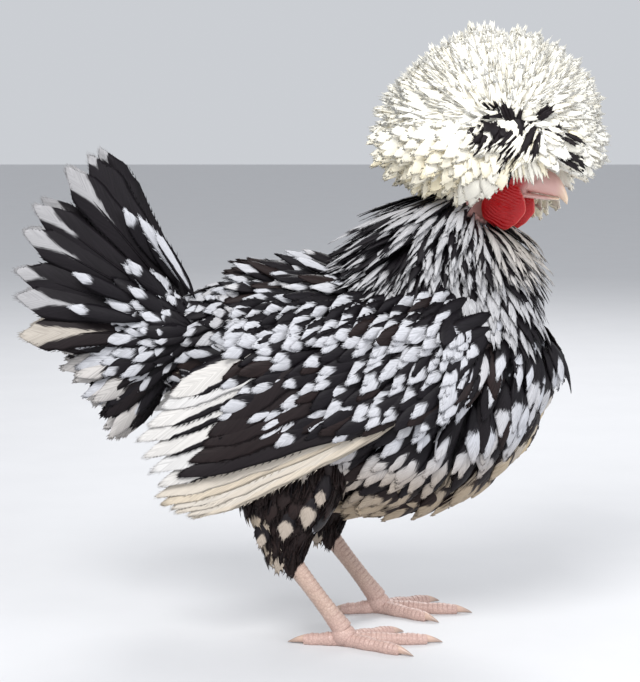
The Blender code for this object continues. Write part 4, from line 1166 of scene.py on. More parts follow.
# Crest layers: how many feathers, how far out they reach at least and at most as shares of the globe, their widths
# and their kind.
CREST_LAYERS = [
    (1200, 0.92, 0.96, (13.0, 17.0), "base"), (1700, 0.96, 0.985, (9.0, 13.0), "vane"),
    (1200, 0.965, 1.0, (11.0, 16.0), "petal"), (1100, 0.97, 1.0, (7.0, 10.0), "down"),
]


def crest_coat():
    """The crest: a close layer of broad feathers, pointed ones and down over it, and broad round ones below."""
    rng = np.random.default_rng(SEED + 2)
    coat = Coat()
    for layer in CREST_LAYERS:
        crest_layer(coat, rng, *layer)
    crest_strands(coat, rng)
    return coat.pieces("crest_feathers", "crest", "crest_feather")


TAIL_TIPS = [0.10, 0.42, 0.30, 0.36, 0.20, 0.40, 0.55]
# Tiers of tail coverts: how many, the turns they run between, how far out their tips reach, length and width.
TAIL_TIERS = [
    (7, 186, 238, (96, 85, 92), 58, 15), (9, 160, 236, (94, 84, 80), 56, 15),
    (11, 150, 238, (80, 72, 68), 50, 14.5), (13, 138, 240, (66, 60, 56), 44, 13.5),
    (14, 130, 242, (52, 48, 45), 38, 12.5), (14, 126, 242, (40, 38, 36), 34, 11.5),
    (12, 124, 240, (30, 28, 26), 28, 11),
]

TAIL_SPOTS = [0.48, 0.42, 0.36, 0.32, 0.28, 0.26, 0.24]
# Lone coverts over the fan: the turn and length to the tip, and how far it stands from the middle plane.
TAIL_LONE = [(121, 94, 13), (116, 79, 13), (154, 90, 24), (146, 54, 24), (168, 86, 28), (134, 66, 20)]


def tail_coat():
    """The fan of tail feathers, and coverts that lie over its root in tiers like tiles."""
    rng = np.random.default_rng(SEED + 3)
    coat, fan = Coat(), Coat()
    for sign in (-1, 1):
        k = np.arange(len(TAIL_FAN))
        angle = np.radians(np.array([a for a, _ in TAIL_FAN]) + rng.uniform(-2, 2, len(k)))
        length = np.array([reach for _, reach in TAIL_FAN], float)
        way = side_way(angle)
        y = np.array([0, sign, 0])
        root = TAIL_ROOT + way * 10 + y * (1.5 + k)[:, None]
        tip = TAIL_ROOT + way * length[:, None] + y * (5 + 3.6 * k)[:, None]
        bend = (root + tip) / 2 + y * 4 + np.array([0, 0, 3.0])
        out = unit(np.array([[0, sign, 0.25]]) + rng.normal(0, 0.08, (len(k), 3)))
        marks = np.stack([np.array(TAIL_TIPS), 0.1 + 0.3 * (k == 6), rng.uniform(0, 1, len(k))], -1)
        spot = np.stack([0.05 + 0.1 * k, 0.1 + 0.2 * (sign > 0) + 0 * k], -1)
        fan.vanes("spread", root, bend, tip, out, 24.0, marks, spot, rng, columns=11, cup=0.16, fringe=44,
                  barb=2.4, torn=0.14, splay=0.8, twist=0.03)
        shafts(fan, root, bend, tip, out, marks, spot, rng)
        for tier, (count, first, last, reach, long, wide) in enumerate(TAIL_TIERS):
            for depth in (1.0, 0.45):
                part = (np.arange(count) + (0.5 if depth < 1 else 0.0) + 0.2 * rng.uniform(-1, 1, count)) / count
                angle = np.radians(first + (last - first) * part)
                way = side_way(angle)
                far = np.interp(part, [0, 0.5, 1], reach) * rng.uniform(0.95, 1.04, count)
                near = np.maximum(far - long, 2)
                edge = np.sin(math.pi * np.clip(0.12 + 0.8 * part, 0, 1)) ** 0.5 * depth
                root = TAIL_ROOT + way * near[:, None] + y * (edge * np.maximum(24 - 0.24 * near, 3))[:, None]
                tip = TAIL_ROOT + way * far[:, None] + y * (edge * np.maximum(33 - 0.25 * far, 6))[:, None]
                tip = tip + rng.normal(0, 1.2, (count, 3))
                bend = (root + tip) / 2 + y * (5 * depth)
                out = unit(y + way * 0 + np.array([0, 0, 0.15]) + rng.normal(0, 0.12, (count, 3)))
                chance = rng.uniform(0, 1, count)
                tipped = np.where(chance < 0.2, 0.0, TAIL_SPOTS[tier] * rng.uniform(0.5, 1.5, count))
                marks = np.stack([tipped, 0.05 + 0.25 * (tier == 0) + 0 * chance, chance], -1)
                spot = np.stack([0.05 + 0.9 * part, 0.4 + 0.08 * tier + 0.04 * (sign > 0) + 0 * part], -1)
                coat.vanes("contour", root, bend, tip, out, wide * rng.uniform(0.85, 1.1, count), marks, spot, rng,
                           cup=0.3, barb=2.0)
        angle, far, aside = (np.array(column) for column in zip(*TAIL_LONE))
        angle = np.radians(angle)
        way = side_way(angle)
        tip = TAIL_ROOT + way * far[:, None] + y * aside[:, None]
        root = tip - way * 48 - y * 5
        marks = np.stack([0.24 + 0 * far, 0.05 + 0 * far, rng.uniform(0, 1, len(far))], -1)
        spot = np.stack([np.linspace(0.1, 0.9, len(far)), 0 * far + 0.95], -1)
        coat.vanes("contour", root, (root + tip) / 2 + y * 3, tip, [[0.0, sign, 0.15]] * len(far), 11.0, marks,
                   spot, rng)
    lone_root = TAIL_ROOT + np.array([(-5, -14, 26), (-2, -16, 22)])
    lone_tip = TAIL_ROOT + np.array([(-38, -22, 76), (-27, -24, 66)])
    lone_marks = np.array([(0.9, 0.05, 0.3), (0.8, 0.05, 0.6)])
    coat.vanes("quill", lone_root, (lone_root + lone_tip) / 2 + (1, -2, 1), lone_tip,
               np.array([(0.2, -1, 0.2)] * 2), 7.5, lone_marks, np.array([(0.5, 0.93), (0.6, 0.93)]), rng,
               columns=5, fringe=14, barb=3.0)
    return (coat.pieces("tail_coverts", "body", "mottled_feather")
            + fan.pieces("tail_fan", "tail", "black_feather"))


def shafts(coat, root, bend, tip, out, marks, spot, rng):
    """A raised shaft along the middle of each large feather."""
    rise = unit(np.asarray(out, float)) * 0.5
    count = len(root)
    coat.down(root + rise, bend + rise, root + (tip - root) * 0.97 + rise, out, np.full(count, 1.5), marks, spot,
              rng, blades=1, thick=0.7)


# Wing tiers: the cream primaries, the white secondaries over them and the black ones over those. Each has how
# many, how far from the middle plane, width, and the lines (along X and up Z) that the roots and the tips run
# along.
WING_TIERS = [
    (8, 62.4, 18, [(74, 158), (46, 150)], [(-58, 88), (-72, 94), (-82, 102)]),
    (7, 64.4, 20, [(44, 170), (0, 206)], [(-84, 110), (-95, 126), (-93, 145), (-72, 168)]),
    (5, 66.8, 20, [(66, 160), (20, 200)], [(-68, 117), (-62, 130), (-52, 142), (-42, 154)]),
]


def along_points(points, count):
    """Points spread evenly along a bent line."""
    points = np.array(points, float)
    steps = np.concatenate([[0], np.cumsum(np.linalg.norm(np.diff(points, axis=0), axis=1))])
    at = np.linspace(0, steps[-1], count)
    return np.stack([np.interp(at, steps, points[:, k]) for k in range(points.shape[1])], -1)


def wing_coat(side):
    """The folded wing's tiers, from the long primaries below to the small coverts at the shoulder."""
    rng = np.random.default_rng(SEED + 4)
    sign = sign_of(side)
    coat, quills = Coat(), Coat()
    for tier, (count, away, width, roots, tips) in enumerate(WING_TIERS):
        start, end = along_points(roots, count), along_points(tips, count)
        wild = rng.uniform(-1, 1, (4, count))
        root = np.stack([start[:, 0] + 5, np.full(count, sign * WING_SIDE), start[:, 1]], -1)
        tip = np.stack([end[:, 0] + 3 * wild[0], sign * (away + 0.2 * wild[3]), end[:, 1] + 2 * wild[1]], -1)
        bend = (root + tip) / 2 + np.array([0, sign * (away - WING_SIDE + 2.2), 4])
        out = unit(np.array([0, sign, 0.26]) + rng.normal(0, 0.015, (count, 3)))
        part = np.linspace(0, 1, count)
        chance = rng.uniform(0, 1, count)
        pale = [1.0, 0.9, 0.0][tier]
        warm = [0.3 + 0.5 * chance, 0.12 * chance, 0.2 + 0.5 * chance][tier]
        marks = np.stack([0 * part + pale, warm, chance], -1)
        spot = np.stack([0.05 + 0.9 * part, 0.1 + 0.1 * tier + 0 * part], -1)
        quills.vanes("quill", root, bend, tip, out, float(width), marks, spot, rng, columns=11, cup=0.14,
                     fringe=44, barb=2.6, torn=0.16, splay=0.8, twist=0.02)
    wing_coverts(coat, rng, sign)
    return (coat.pieces(f"wing_coverts_{side}", "body", "mottled_feather")
            + quills.pieces(f"wing_quills_{side}", "quill", "mottled_feather"))


# Fields of coverts: how many, the tips' four corners along X and up Z (low rear, low front, high front, high
# rear), length, width, share of the tip that is pale, how steeply they fall in front and behind, and how far they
# stand out.
COVERT_FIELDS = [
    (116, [(-44, 133), (84, 145), (98, 206), (-50, 204)], 42, 13.5, 0.20, (42, 20), 0.0),
    (40, [(94, 146), (110, 160), (114, 200), (96, 206)], 26, 12.0, 0.34, (66, 56), 0.6),
    (72, [(-42, 199), (94, 203), (104, 229), (-46, 222)], 27, 12.5, 0.38, (26, 8), 1.8),
]


def wing_coverts(coat, rng, sign):
    """Coverts over the wing's upper part, their tips spread over fields with four corners mixed in proportion.

    They lie back and down, steeper at the shoulder, and each grows from under the ones before it. Behind, they are
    long and lie close; at the shoulder they stand further out.
    """
    for field, (count, corners, length, width, pale, steep, proud) in enumerate(COVERT_FIELDS):
        corners = np.array(corners, float)
        a, b = quasi(count, 11 + 7 * field)
        low = corners[0] * (1 - a[:, None]) + corners[1] * a[:, None]
        high = corners[3] * (1 - a[:, None]) + corners[2] * a[:, None]
        at = low * (1 - b[:, None]) + high * b[:, None]
        wild = rng.uniform(-1, 1, (6, count))
        turn = np.radians(steep[1] + (steep[0] - steep[1]) * a + 13 * wild[0] - 10 * b)
        long = length + 5 * wild[1] + 6 * (1 - b) * (1 - a)
        shoulder = np.exp(-((at[:, 0] - 62) / 30) ** 2 - ((at[:, 1] - 194) / 17) ** 2)
        away = 67.5 + 3.5 * ease(-40, 100, at[:, 0]) + 1.0 * b + proud + 2.0 * rng.uniform(-0.4, 1, count)
        away -= 9 * ease(96, 120, at[:, 0]) + 20 * ease(202, 232, at[:, 1])
        tip = np.stack([at[:, 0], sign * away, at[:, 1]], -1)
        root = tip + side_way(turn) * long[:, None]
        root[:, 1] = sign * (away - 7.5)
        curve = ease(192, 222, root[:, 2])
        root[:, 1] -= sign * (14 * curve + 7 * ease(104, 126, root[:, 0]))
        bend = (root + tip) / 2 + np.stack([0 * a, sign * (4.2 + 2 * curve), 2 + 0 * a], -1)
        out = unit(np.array([0, sign, -0.1]) + rng.normal(0, 0.07, (count, 3)))
        tipped = pale * rng.uniform(0.65, 1.35, count) + 0.22 * shoulder + 0.14 * (1 - a) * (1 - b)
        tipped = np.where(rng.uniform(0, 1, count) < (0.36, 0.25, 0.12)[field] * (1 - shoulder), 0.0, tipped)
        warm = np.where(rng.uniform(0, 1, count) < 0.3, 0.7, 0.05)
        marks = np.stack([tipped, np.where(tipped > 0, 0.06, warm), rng.uniform(0, 1, count)], -1)
        spot = np.stack([0.05 + 0.9 * a, 0.45 + 0.5 * b], -1)
        coat.vanes("contour", root, bend, tip, out, width * rng.uniform(0.85, 1.15, count), marks, spot, rng,
                   cup=0.35, torn=0.1)


def thigh_frame(side, t):
    """The thigh's middle line and its half length and width, t of the way from hock to hip."""
    top = HOCK[side] + np.array([THIGH_LEAN, -sign_of(side) * 2, KNEE_RISE])
    length, width = rows_at(THIGH, t)
    middle = HOCK[side] + (top - HOCK[side]) * np.asarray(t, float)[:, None]
    return middle, length, width


# Lone pale-tipped feathers on the thigh's outer side, along X and up Z from the hock.
THIGH_SPOTS = [(12, 31), (-2, 23), (21, 45), (-17, 17)]
THIGH_LAYERS = [("down", 250), ("vane", 210)]
# How far from the middle plane the thigh's feathers may reach.
THIGH_OUT = 60.5


def thigh_coat(side):
    """Soft dark feathers down the thigh, with loose pale ones at its back, and down at the hock."""
    rng = np.random.default_rng(SEED + 5)
    coat = Coat()
    for layer, count in THIGH_LAYERS:
        a, b = quasi(count)
        t = 1.18 - 1.13 * a ** 0.85
        turn = b * 2 * math.pi
        middle, length, width = thigh_frame(side, np.clip(t, 0, 1))
        wild = rng.uniform(-1, 1, (5, count))
        way = round_way(turn)
        root = middle + way * np.stack([np.maximum(length - 7, 4), np.maximum(width - 7, 4), 0 * length], -1)
        root[:, 2] += 8 + KNEE_RISE * np.maximum(t - 1, 0)
        drop = np.clip(27 + 5 * wild[0], 14, 34) * (1.0 if layer == "vane" else 0.92)
        low = np.clip(t - drop / KNEE_RISE, 0, 1)
        end_middle, end_length, end_width = thigh_frame(side, low)
        spread = np.stack([end_length, end_width, 0 * end_length], -1)
        tip = end_middle + way * spread * (1 + 0.06 * wild[1])[:, None]
        lowest = HOCK[side][2] - 8 - 8 * ease(-0.6, 0.6, way[:, 0])
        tip[:, 2] = np.maximum(root[:, 2] - drop, lowest + 7 * rng.uniform(0, 1, count))
        tip[:, 0] -= 3
        limit = sign_of(side) * THIGH_OUT
        tip[:, 1] = np.minimum(tip[:, 1], limit) if side == "L" else np.maximum(tip[:, 1], limit)
        bend = root * 0.5 + tip * 0.5 + way * 5
        back = ease(0.0, -0.9, way[:, 0])
        chance = rng.uniform(0, 1, count)
        spotted = (chance < 0.16) | ((chance < 0.65) & (back > 0.5) & (t < 0.75))
        tipped = np.where(spotted & (layer == "vane"), 0.4 + 0.1 * wild[3], 0.0)
        warm = np.where(spotted, 0.2 + 0.5 * back, 0.85 + 0.1 * wild[2])
        marks = np.stack([tipped, warm, rng.uniform(0, 1, count)], -1)
        spot = np.stack([0.04 + 0.92 * b, 0.04 + 0.9 * np.clip(t, 0, 1)], -1)
        out = unit(way + np.array([0, 0, 0.2]))
        if layer == "vane":
            coat.vanes("contour", root, bend, tip, out, 13 + 2 * wild[4], marks, spot, rng, cup=0.3, ragged=0.03,
                       fringe=14, barb=3.0, torn=0.15)
        else:
            coat.down(root, bend, tip, out, 13 + 2 * wild[4], marks, spot, rng)
    x, z = (HOCK[side][[0, 2]] + np.array(THIGH_SPOTS)).T
    middle, length, width = thigh_frame(side, (z - HOCK[side][2]) / KNEE_RISE)
    sign = sign_of(side)
    reach = width * np.sqrt(np.maximum(1 - ((x - middle[:, 0]) / length) ** 2, 0.1)) + 1.0
    tip = np.stack([x, sign * np.minimum(sign * middle[:, 1] + reach, 60), z - 9], -1)
    root = tip + np.array([5, -sign * 5, 24])
    marks = np.array([(0.5 - 0.06 * k, 0.15, 0.2 + 0.13 * k) for k in range(len(x))])
    coat.vanes("contour", root, (root + tip) / 2 + (0, sign * 4, 1), tip, [(-0.1, sign, 0.1)] * len(x), 12.0,
               marks, marks[:, [2, 0]], rng, cup=0.3, fringe=14, barb=2.0)
    return coat.pieces(f"thigh_feathers_{side}", "body", "black_feather")


# Skin

def skin():
    """One skin under the coat: torso, neck, head with lids, the crest's knob, thighs and rump, joined and
    smoothed.
    """
    shells = []
    turn = np.linspace(0, 2 * math.pi, 49)[:-1]
    xs = np.linspace(-70, 168, 60)
    grid = torso_point(xs[:, None] + 0 * turn, turn[None] + 0 * xs[:, None], COAT)
    shells.append(tube_mesh(grid, [(-74, 0, 200), (170, 0, 183)]))
    hs = np.linspace(200, 304, 40)
    grid = neck_skin_point(hs[:, None] + 0 * turn, turn[None] + 0 * hs[:, None], NECK_SKIN)
    shells.append(tube_mesh(grid, [(103, 0, 196), (125, 0, 309)]))
    hx = np.linspace(-23, 25, 60)
    middle, high, wide = rows_at(HEAD, hx)
    c, s = (np.sign(f) * np.abs(f) ** (2 / 2.1) for f in (np.cos(turn), np.sin(turn)))
    grid = np.stack([hx[:, None] + 0 * c, wide[:, None] * c, middle[:, None] + high[:, None] * s], -1)
    shells.append(tube_mesh(head_place(grid), head_place([(-26, 0, 1), (27, 0, -5.5)])))
    shells.append(ball(CREST_KNOB_AT, CREST_KNOB))
    for side in "LR":
        t = np.linspace(0, 1, 30)
        mid, length, width = thigh_frame(side, t)
        ring = round_way(turn)[None]
        size = np.stack([np.maximum(length - 7, 6), np.maximum(width - 7, 6), 0 * length], -1)[:, None]
        shells.append(tube_mesh(mid[:, None] + ring * size, [mid[0] - (0, 0, 4), mid[-1] + (0, 0, 8)]))
        y = sign_of(side)
        lid_at = EYE_AT * np.array([1, y, 1]) + np.array([0, 0.4 * y, 0])
        shells.append(ball(lid_at, np.array([7.8, 4.3, 7.2]), head_place))
    shells.append(ball(TAIL_ROOT + np.array([-14, 0, -3]), np.array([20.0, 11, 20])))
    points, faces, base = [], [], 0
    for shell_points, shell_faces in shells:
        points.append(shell_points)
        faces += [[i + base for i in face] for face in shell_faces]
        base += len(shell_points)
    obj = mesh_piece("skin", np.concatenate(points), faces, "skin", "skin_red")
    remesh = obj.modifiers.new("join", "REMESH")
    remesh.mode = "VOXEL"
    remesh.voxel_size = SKIN_VOXEL * MM
    remesh.use_smooth_shade = True
    smooth = obj.modifiers.new("soften", "SMOOTH")
    smooth.factor = 0.5
    smooth.iterations = 4
    graph = bpy.context.evaluated_depsgraph_get()
    made = bpy.data.meshes.new_from_object(obj.evaluated_get(graph))
    obj.modifiers.clear()
    obj.data = made
    face_folds(made)
    return obj


def ball_grid(centre, radii, rows, columns):
    """An ellipsoid's rings of latitude scaled by its three radii, and its two poles."""
    lift, turn = latitudes(rows), turns(columns)
    grid = stacked(np.cos(lift) * np.cos(turn), np.cos(lift) * np.sin(turn), np.sin(lift))
    poles = np.array([(0, 0, -1), (0, 0, 1)], float)
    return centre + grid * radii, centre + poles * radii


def ball(centre, radii, turn_to=lambda p: p):
    """Points and faces of an ellipsoid that is moved by turn_to."""
    return tube_mesh(*(turn_to(points) for points in ball_grid(centre, radii, 24, 32)))


def face_folds(mesh):
    """Opens the eyes' sockets and folds the skin of the face.

    A point nearer an eye's middle than its radius and a little more is pushed out to that distance, which leaves
    the lids as a rim. Folds are a sum of waves in the head's frame, strongest on the cheeks. Beside the wattles
    the throat is pressed in, so that they hang free.
    """
    count = len(mesh.vertices)
    flat = np.empty(count * 3, np.float32)
    mesh.vertices.foreach_get("co", flat)
    points = flat.reshape(-1, 3).astype(float) / MM - SHIFT
    local = to_head(points)
    near = np.linalg.norm(local, axis=1) < 40
    p = local[near]
    waves = np.sin(p[:, 0] * 1.9 + np.sin(p[:, 2] * 0.7) * 1.3) * np.sin(p[:, 2] * 1.6 + p[:, 1] * 0.5)
    cheek = ease(-4, 4, p[:, 0]) * ease(14, 6, np.abs(p[:, 2] + 4))
    p = p * (1 + (0.03 * waves * cheek)[:, None])
    round_wattle = np.hypot((p[:, 0] - 8) / 20, (p[:, 2] + 25) / 17)
    limit = 6.5 + 30 * ease(0.8, 1.25, round_wattle)
    p[:, 1] = np.clip(p[:, 1], -limit, limit)
    for sign in (-1, 1):
        centre = EYE_AT * np.array([1, sign, 1])
        off = p - centre
        far = np.linalg.norm(off, axis=1, keepdims=True)
        want = EYE_RADIUS + 0.15
        p = np.where(far < want, centre + off / np.maximum(far, 1e-6) * want, p)
    points[near] = head_place(p)
    mesh.vertices.foreach_set("co", place(points).astype(np.float32).ravel())
    mesh.update()


# Head parts

def eye(side):
    """A ball whose axis looks out to the side, so that the iris and pupil are rings about it."""
    sign = sign_of(side)
    lift, turn = -latitudes(30), turns(32)
    bulge = 1 + 0.06 * np.maximum(0, np.sin(lift)) ** 6
    grid = stacked(np.cos(lift) * np.cos(turn), sign * np.sin(lift) * bulge, np.cos(lift) * np.sin(turn))
    centre = EYE_AT * (1, sign, 1)
    ends = centre + np.array([(0, sign * 1.06, 0), (0, -sign, 0)]) * EYE_RADIUS
    grid = centre + grid * EYE_RADIUS
    return ring_piece(f"eyeball_{side}", head_place(grid), head_place(ends), "eye", "eye_dark")


def bill_top(x):
    """Height of the ridge: level, then falling with the cube of the way to the hook."""
    return BILL_RIDGE - BILL_DROP * np.maximum(0.0, (x - BILL_DROP_FROM) / (BILL_LENGTH - BILL_DROP_FROM)) ** 3


def bill(part):
    """Oval slices along the bill. The upper half has a narrow ridge, a nostril groove and a hook at its end."""
    rows, columns = 46, 40
    length = BILL_LENGTH if part == "upper" else BILL_LENGTH - 6
    x = np.linspace(BILL_ROOT, length - 0.5, rows)
    run = (x - BILL_ROOT) / (BILL_LENGTH - BILL_ROOT)
    gape = GAPE_HEIGHT + 1.2 * run
    width = 8.2 * (1 - run) ** 0.8 + 0.9
    if part == "upper":
        top = bill_top(x)
        bottom = gape - 4 * np.maximum(0.0, run - 0.8) / 0.2
    else:
        top = gape - 0.5
        bottom = gape - 0.5 - 4.6 * (1 - run) ** 0.7
        width = width - 0.8
    middle, height = (top + bottom) / 2, (top - bottom) / 2
    c, s = np.cos(turns(columns)), np.sin(turns(columns))
    pinch = 1 - 0.22 * np.maximum(0, s) ** 2 if part == "upper" else 1 + 0 * s
    y = width[:, None] * (np.sign(c) * np.abs(c) ** 0.9 * pinch)[None]
    z = middle[:, None] + height[:, None] * s[None]
    grid = stacked(x[:, None], y, z)
    if part == "upper":
        pit = np.exp(-(((grid[..., 0] - 27.5) / 2.6) ** 2 + ((grid[..., 2] + 2.6) / 1.1) ** 2))
        grid[..., 1] -= np.sign(grid[..., 1]) * 1.9 * pit
    tip_height = -14.2 if part == "upper" else GAPE_HEIGHT - 0.1
    ends = [(17.5, 0, -6 if part == "upper" else -14), (length, 0, tip_height)]
    return ring_piece(f"bill_{part}_horn", head_place(grid), head_place(ends), "bill", "bill_horn")


def comb():
    """Two low horns that spread into a V: balls leant outwards, their skin raised in pimples."""
    made = []
    for side in "LR":
        sign = sign_of(side)
        centre = np.array([24.8 if side == "L" else 24.1, sign * 2.7, COMB_HIGH])

        def lean(p, sign=sign, centre=centre):
            rise = p[..., 2] - centre[2]
            q = np.stack([p[..., 0] - 0.25 * rise, p[..., 1] + sign * 0.45 * rise, p[..., 2]], -1)
            lump = np.sin(q[..., 0] * 3.1) * np.sin(q[..., 1] * 2.9) * np.sin(q[..., 2] * 2.7)
            return head_place(q + (q - centre) * (0.05 * lump)[..., None])

        grid, ends = ball_grid(centre, COMB_RADII, 24, 32)
        made.append(ring_piece(f"comb_horn_{side}", lean(grid), lean(ends), "comb", "skin_red"))
    return made


def wattle(side):
    """A hanging disc with a thin waved rim, whose faces carry fine curved folds.

    From the middle of one face to the middle of the other the ring's angle runs a half turn. Its radius is the
    disc's times the cosine and its height the thickness times the sine. The folds are a wave in the distance from
    a place high above the disc, bent by two slower waves.
    """
    rows, columns = 74, 96
    sign = sign_of(side)
    lift, turn = latitudes(rows), turns(columns)
    wave = 1 + 0.03 * np.cos(5 * turn) + 0.012 * np.cos(11 * turn + 1)
    radius = WATTLE_RADIUS * np.cos(lift) * wave
    bow = 0.9 * np.sin(turn) * np.cos(lift)
    along, high = radius * np.cos(turn), radius * np.sin(turn)
    away = np.hypot(along - 9, high - 40)
    crinkle = np.sin(away * 3.2 + 1.3 * np.sin(along * 0.34 + high * 0.21)
                     + 0.9 * np.sin(high * 0.55 - along * 0.4))
    fade = np.minimum(1, np.abs(np.sin(lift)) * 3) * ease(0, 6, WATTLE_RADIUS - radius + 3)
    thick = WATTLE_THICK * np.sin(lift) + 0.26 * crinkle * np.sign(np.sin(lift)) * fade
    grid = stacked(along, thick + bow * sign * 0.8, 1.08 * radius * np.sin(turn))
    centre = WATTLE_AT * (1, sign, 1) + (4 if side == "L" else 0, 0, 0)
    ends = centre + np.array([(0, -WATTLE_THICK, 0), (0, WATTLE_THICK, 0)])
    return ring_piece(f"wattle_skin_{side}", head_place(centre + grid), head_place(ends), "comb", "skin_red",
                      np.cos(lift[:, 0]))


def earlobe(side):
    """An oval ball, its skin raised in low lumps."""
    centre = np.array([-3.0, sign_of(side) * 13.2, -8])

    def lumpy(p):
        lump = np.sin(p[..., 0] * 1.3) * np.sin(p[..., 2] * 1.1)
        return head_place(p + (p - centre) * (0.05 * lump)[..., None])

    return mesh_piece(f"ear_lobe_{side}", *ball(centre, EARLOBE_RADII, lumpy), "lobe", "earlobe_white")


# Legs

def scaled_limb(name, start, end, radii, scutes, flat=None, rows=120, columns=36):
    """A limb whose radius is read off along it, with scutes as raised steps across its front.

    Along each scute the radius falls from its full height to the crease, like the overlapping edge of a roof tile.
    Behind, the skin carries small round scales. Where flat is given, nothing of the limb lies lower.
    """
    start, end = np.asarray(start, float), np.asarray(end, float)
    run = end - start
    way = run / np.linalg.norm(run)
    side = unit(np.cross(way, [0, 0, 1.0]))
    up = np.cross(side, way)
    t = np.linspace(0, 1, rows)
    turn = turns(columns)
    radius = np.interp(t, np.linspace(0, 1, len(radii)), radii)
    if flat is None:
        radius = radius * np.sqrt(1 - 0.75 * ease(0.955, 1.0, t))
    phase = (t * scutes) % 1
    crease = np.exp(-((phase - 0.06) / 0.09) ** 2) + np.exp(-((phase - 1.06) / 0.09) ** 2)
    tile = 0.42 * (1 - phase) - 0.34 * crease
    front = ease(-0.15, 0.45, np.sin(turn))
    beads = 0.14 * np.sin(turn * 9)[None] * np.sin(t * scutes * 5.3)[:, None]
    full = radius[:, None] + tile[:, None] * front[None] + beads * (1 - front[None])
    ring = side * (full * np.cos(turn))[..., None] + up * (full * np.sin(turn))[..., None]
    grid = (start + run * t[:, None])[:, None] + ring
    if flat is not None:
        grid[..., 2] = np.maximum(grid[..., 2], flat)
    ends = [start - way * radii[0] * LIMB_END, end + way * radii[-1] * LIMB_END]
    obj = ring_piece(name, grid, ends, "leg", "leg_scale")
    # Painted shade for the colour: dark in each scute's crease across the front.
    shade = np.concatenate([(crease[:, None] * front[None] * 0.5).ravel(), [0, 0]])
    layer = obj.data.attributes.new("crease", "FLOAT_COLOR", "POINT")
    layer.data.foreach_set("color", stacked(shade, shade, shade, 1.0).astype(np.float32).ravel())
    return obj


def foot_ball(side):
    """The foot's joint, a low ball where the toes meet the shank, held up off the floor by a little."""
    grid, ends = ball_grid(ANKLE[side] * (1, 1, 0) + (-0.5, 0, 6.9), np.array([8.2, 7.6, 7.4]), 30, 40)
    for points in (grid, ends):
        points[..., 2] = np.maximum(points[..., 2], 0.4)
    return ring_piece(f"foot_joint_{side}", grid, ends, "leg", "leg_scale")


def toe_way(side, turn):
    """The level way of a toe that is turned so many degrees inwards from the way ahead."""
    angle = math.radians(turn) * -sign_of(side)
    return np.array([math.cos(angle), math.sin(angle), 0])


def toe(side, name):
    """A toe from the foot's joint to its claw, its sole flat on the floor."""
    turn, length = TOES[name]
    start = ANKLE[side].copy()
    start[2] = SOLE_PRESS * TOE[0]
    end = start + toe_way(side, turn) * length
    end[2] = SOLE_PRESS * TOE[-1]
    scutes = round(length / SCUTE_LENGTH)
    return scaled_limb(f"toe_skin_{name}_{side}", start, end, TOE, scutes, 0.0)


def claw(side, name):
    """A claw: a cone along its toe's way whose middle line drops with the square of the distance."""
    turn, length = TOES[name]
    way = toe_way(side, turn)
    across = np.cross(way, [0, 0, 1.0])
    start = ANKLE[side] + way * (length - 1)
    t = np.linspace(0, 0.97, 24)
    angle = turns(20)
    radius = 2.6 * (1 - t) ** 0.7 + 0.3 * (1 - t)
    middle = start + way * (CLAW_LENGTH * t)[:, None]
    middle[:, 2] = 3.6 - 1.2 * t - 1.6 * t * t
    grid = middle[:, None] + across * (0.8 * radius[:, None] * np.cos(angle))[..., None]
    grid[..., 2] = np.maximum(grid[..., 2] + radius[:, None] * np.sin(angle), 0.3)
    tip = start + way * CLAW_LENGTH
    tip[2] = 0.6
    root = start - way * 1.5
    root[2] = 3.6
    return ring_piece(f"claw_tip_{name}_{side}", grid, [root, tip], "claw", "claw_horn")


# Stage

def stage_floor():
    """A plain pale floor, wide enough to fill the view."""
    data = bpy.data.meshes.new("floor")
    data.from_pydata([(-6, -4, 0), (6, -4, 0), (6, 9, 0), (-6, 9, 0)], [], [(0, 1, 2, 3)])
    obj = linked("floor", data)
    finish = Finish("floor_pale", 0.7)
    grain = finish.noise(finish.place(), 14.0, 3.0)
    finish.colour(finish.mix(grain, rgb(0.60, 0.60, 0.61), rgb(0.64, 0.64, 0.65)))
    data.materials.append(finish.material)


def aim_at(obj, spot, aim):
    """Places an object and turns its -Z axis towards aim, with its Y axis as near up as it can be."""
    spot, aim = Vector(spot), Vector(aim)
    obj.location = spot
    obj.rotation_euler = (aim - spot).to_track_quat("-Z", "Y").to_euler()


# Round lights, in metres: place, where each aims, size, power and tint.
LIGHTS = {
    "key": ((-0.5, -1.6, 1.7), (0, 0, 0.2), 1.1, 48, (1, 1, 1)),
    "fill": ((1.6, -1.2, 0.9), (0, 0, 0.25), 1.4, 19, (0.94, 0.96, 1.0)),
    "rim": ((0.4, 1.5, 1.5), (0, 0, 0.25), 1.0, 18, (1, 1, 1)),
}


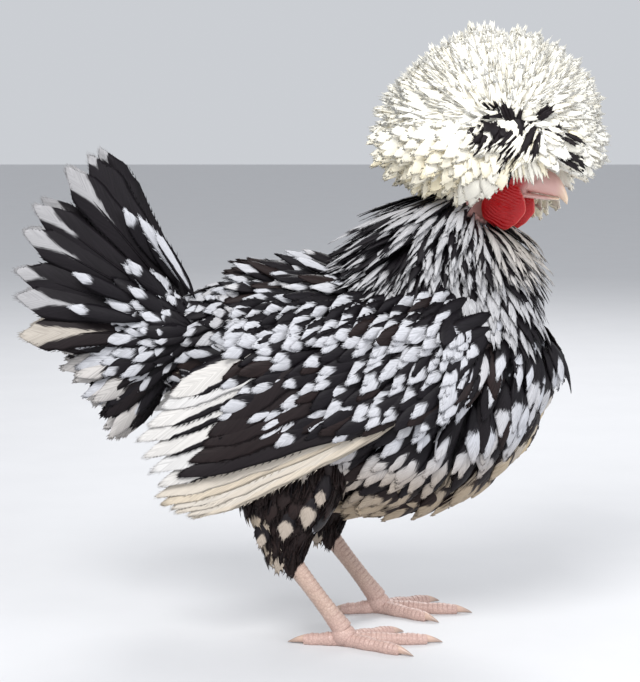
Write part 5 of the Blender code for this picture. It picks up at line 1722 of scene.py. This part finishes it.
def stage_light():
    """A pale sky all round and the round lights. Light may bounce often, so that the white crest stays white."""
    world = bpy.data.worlds.new("studio")
    bpy.context.scene.world = world
    world.use_nodes = True
    back = world.node_tree.nodes["Background"]
    back.inputs[0].default_value = rgb(0.88, 0.91, 0.96)
    back.inputs[1].default_value = 0.68
    for name, (spot, aim, size, power, tint) in LIGHTS.items():
        data = bpy.data.lights.new(name, "AREA")
        data.shape = "DISK"
        data.size = size
        data.energy = power
        data.color = tint
        aim_at(linked(name, data), spot, aim)
    bpy.context.scene.view_settings.view_transform = "Standard"
    bpy.context.scene.cycles.diffuse_bounces = 10


# The camera stands level with the crest, this far from the bird's middle plane, and looks down a little.
CAMERA_FAR = 1350.0
CAMERA_X = 19.8
CAMERA_Z = 360.0
LOOK_Z = 196.0
LENS = 107.9


def stage_camera():
    """A camera at the photograph's viewing angle."""
    data = bpy.data.cameras.new("camera")
    data.lens = LENS
    obj = linked("camera", data)
    aim_at(obj, place((CAMERA_X, -CAMERA_FAR, CAMERA_Z)), place((CAMERA_X, 0, LOOK_Z)))
    bpy.context.scene.camera = obj


def dress():
    """Makes every piece, hides the solids that it covers, and lets it ride on the bird."""
    flesh = skin()
    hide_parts("torso", "neck", "head", "thigh_L", "thigh_R", "tail")
    made = [flesh]
    made += body_coat()
    hackles = hackle_coat()
    crest = crest_coat()
    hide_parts("crest")
    tail = tail_coat()
    made += hackles + crest + tail
    horns = comb()
    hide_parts("comb")
    made += horns
    for part in ("upper", "lower"):
        horn_piece = bill(part)
        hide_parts(f"bill_{part}")
        made.append(horn_piece)
    for side in "LR":
        feathers = wing_coat(side)
        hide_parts(f"wing_{side}")
        made += feathers + thigh_coat(side)
        for piece, node in ((eye(side), "eye"), (wattle(side), "wattle"), (earlobe(side), "earlobe")):
            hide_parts(f"{node}_{side}")
            made.append(piece)
        shank = scaled_limb(f"shank_skin_{side}", HOCK[side], ANKLE[side], SHANK, SHANK_SCUTES, None, 200, 40)
        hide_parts(f"shank_{side}")
        made += [shank, foot_ball(side)]
        for name in TOES:
            for piece, node in ((toe(side, name), "toe"), (claw(side, name), "claw")):
                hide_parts(f"{node}_{name}_{side}")
                made.append(piece)
    for piece in made:
        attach(piece, "root")


dress()
stage_floor()
stage_light()
stage_camera()
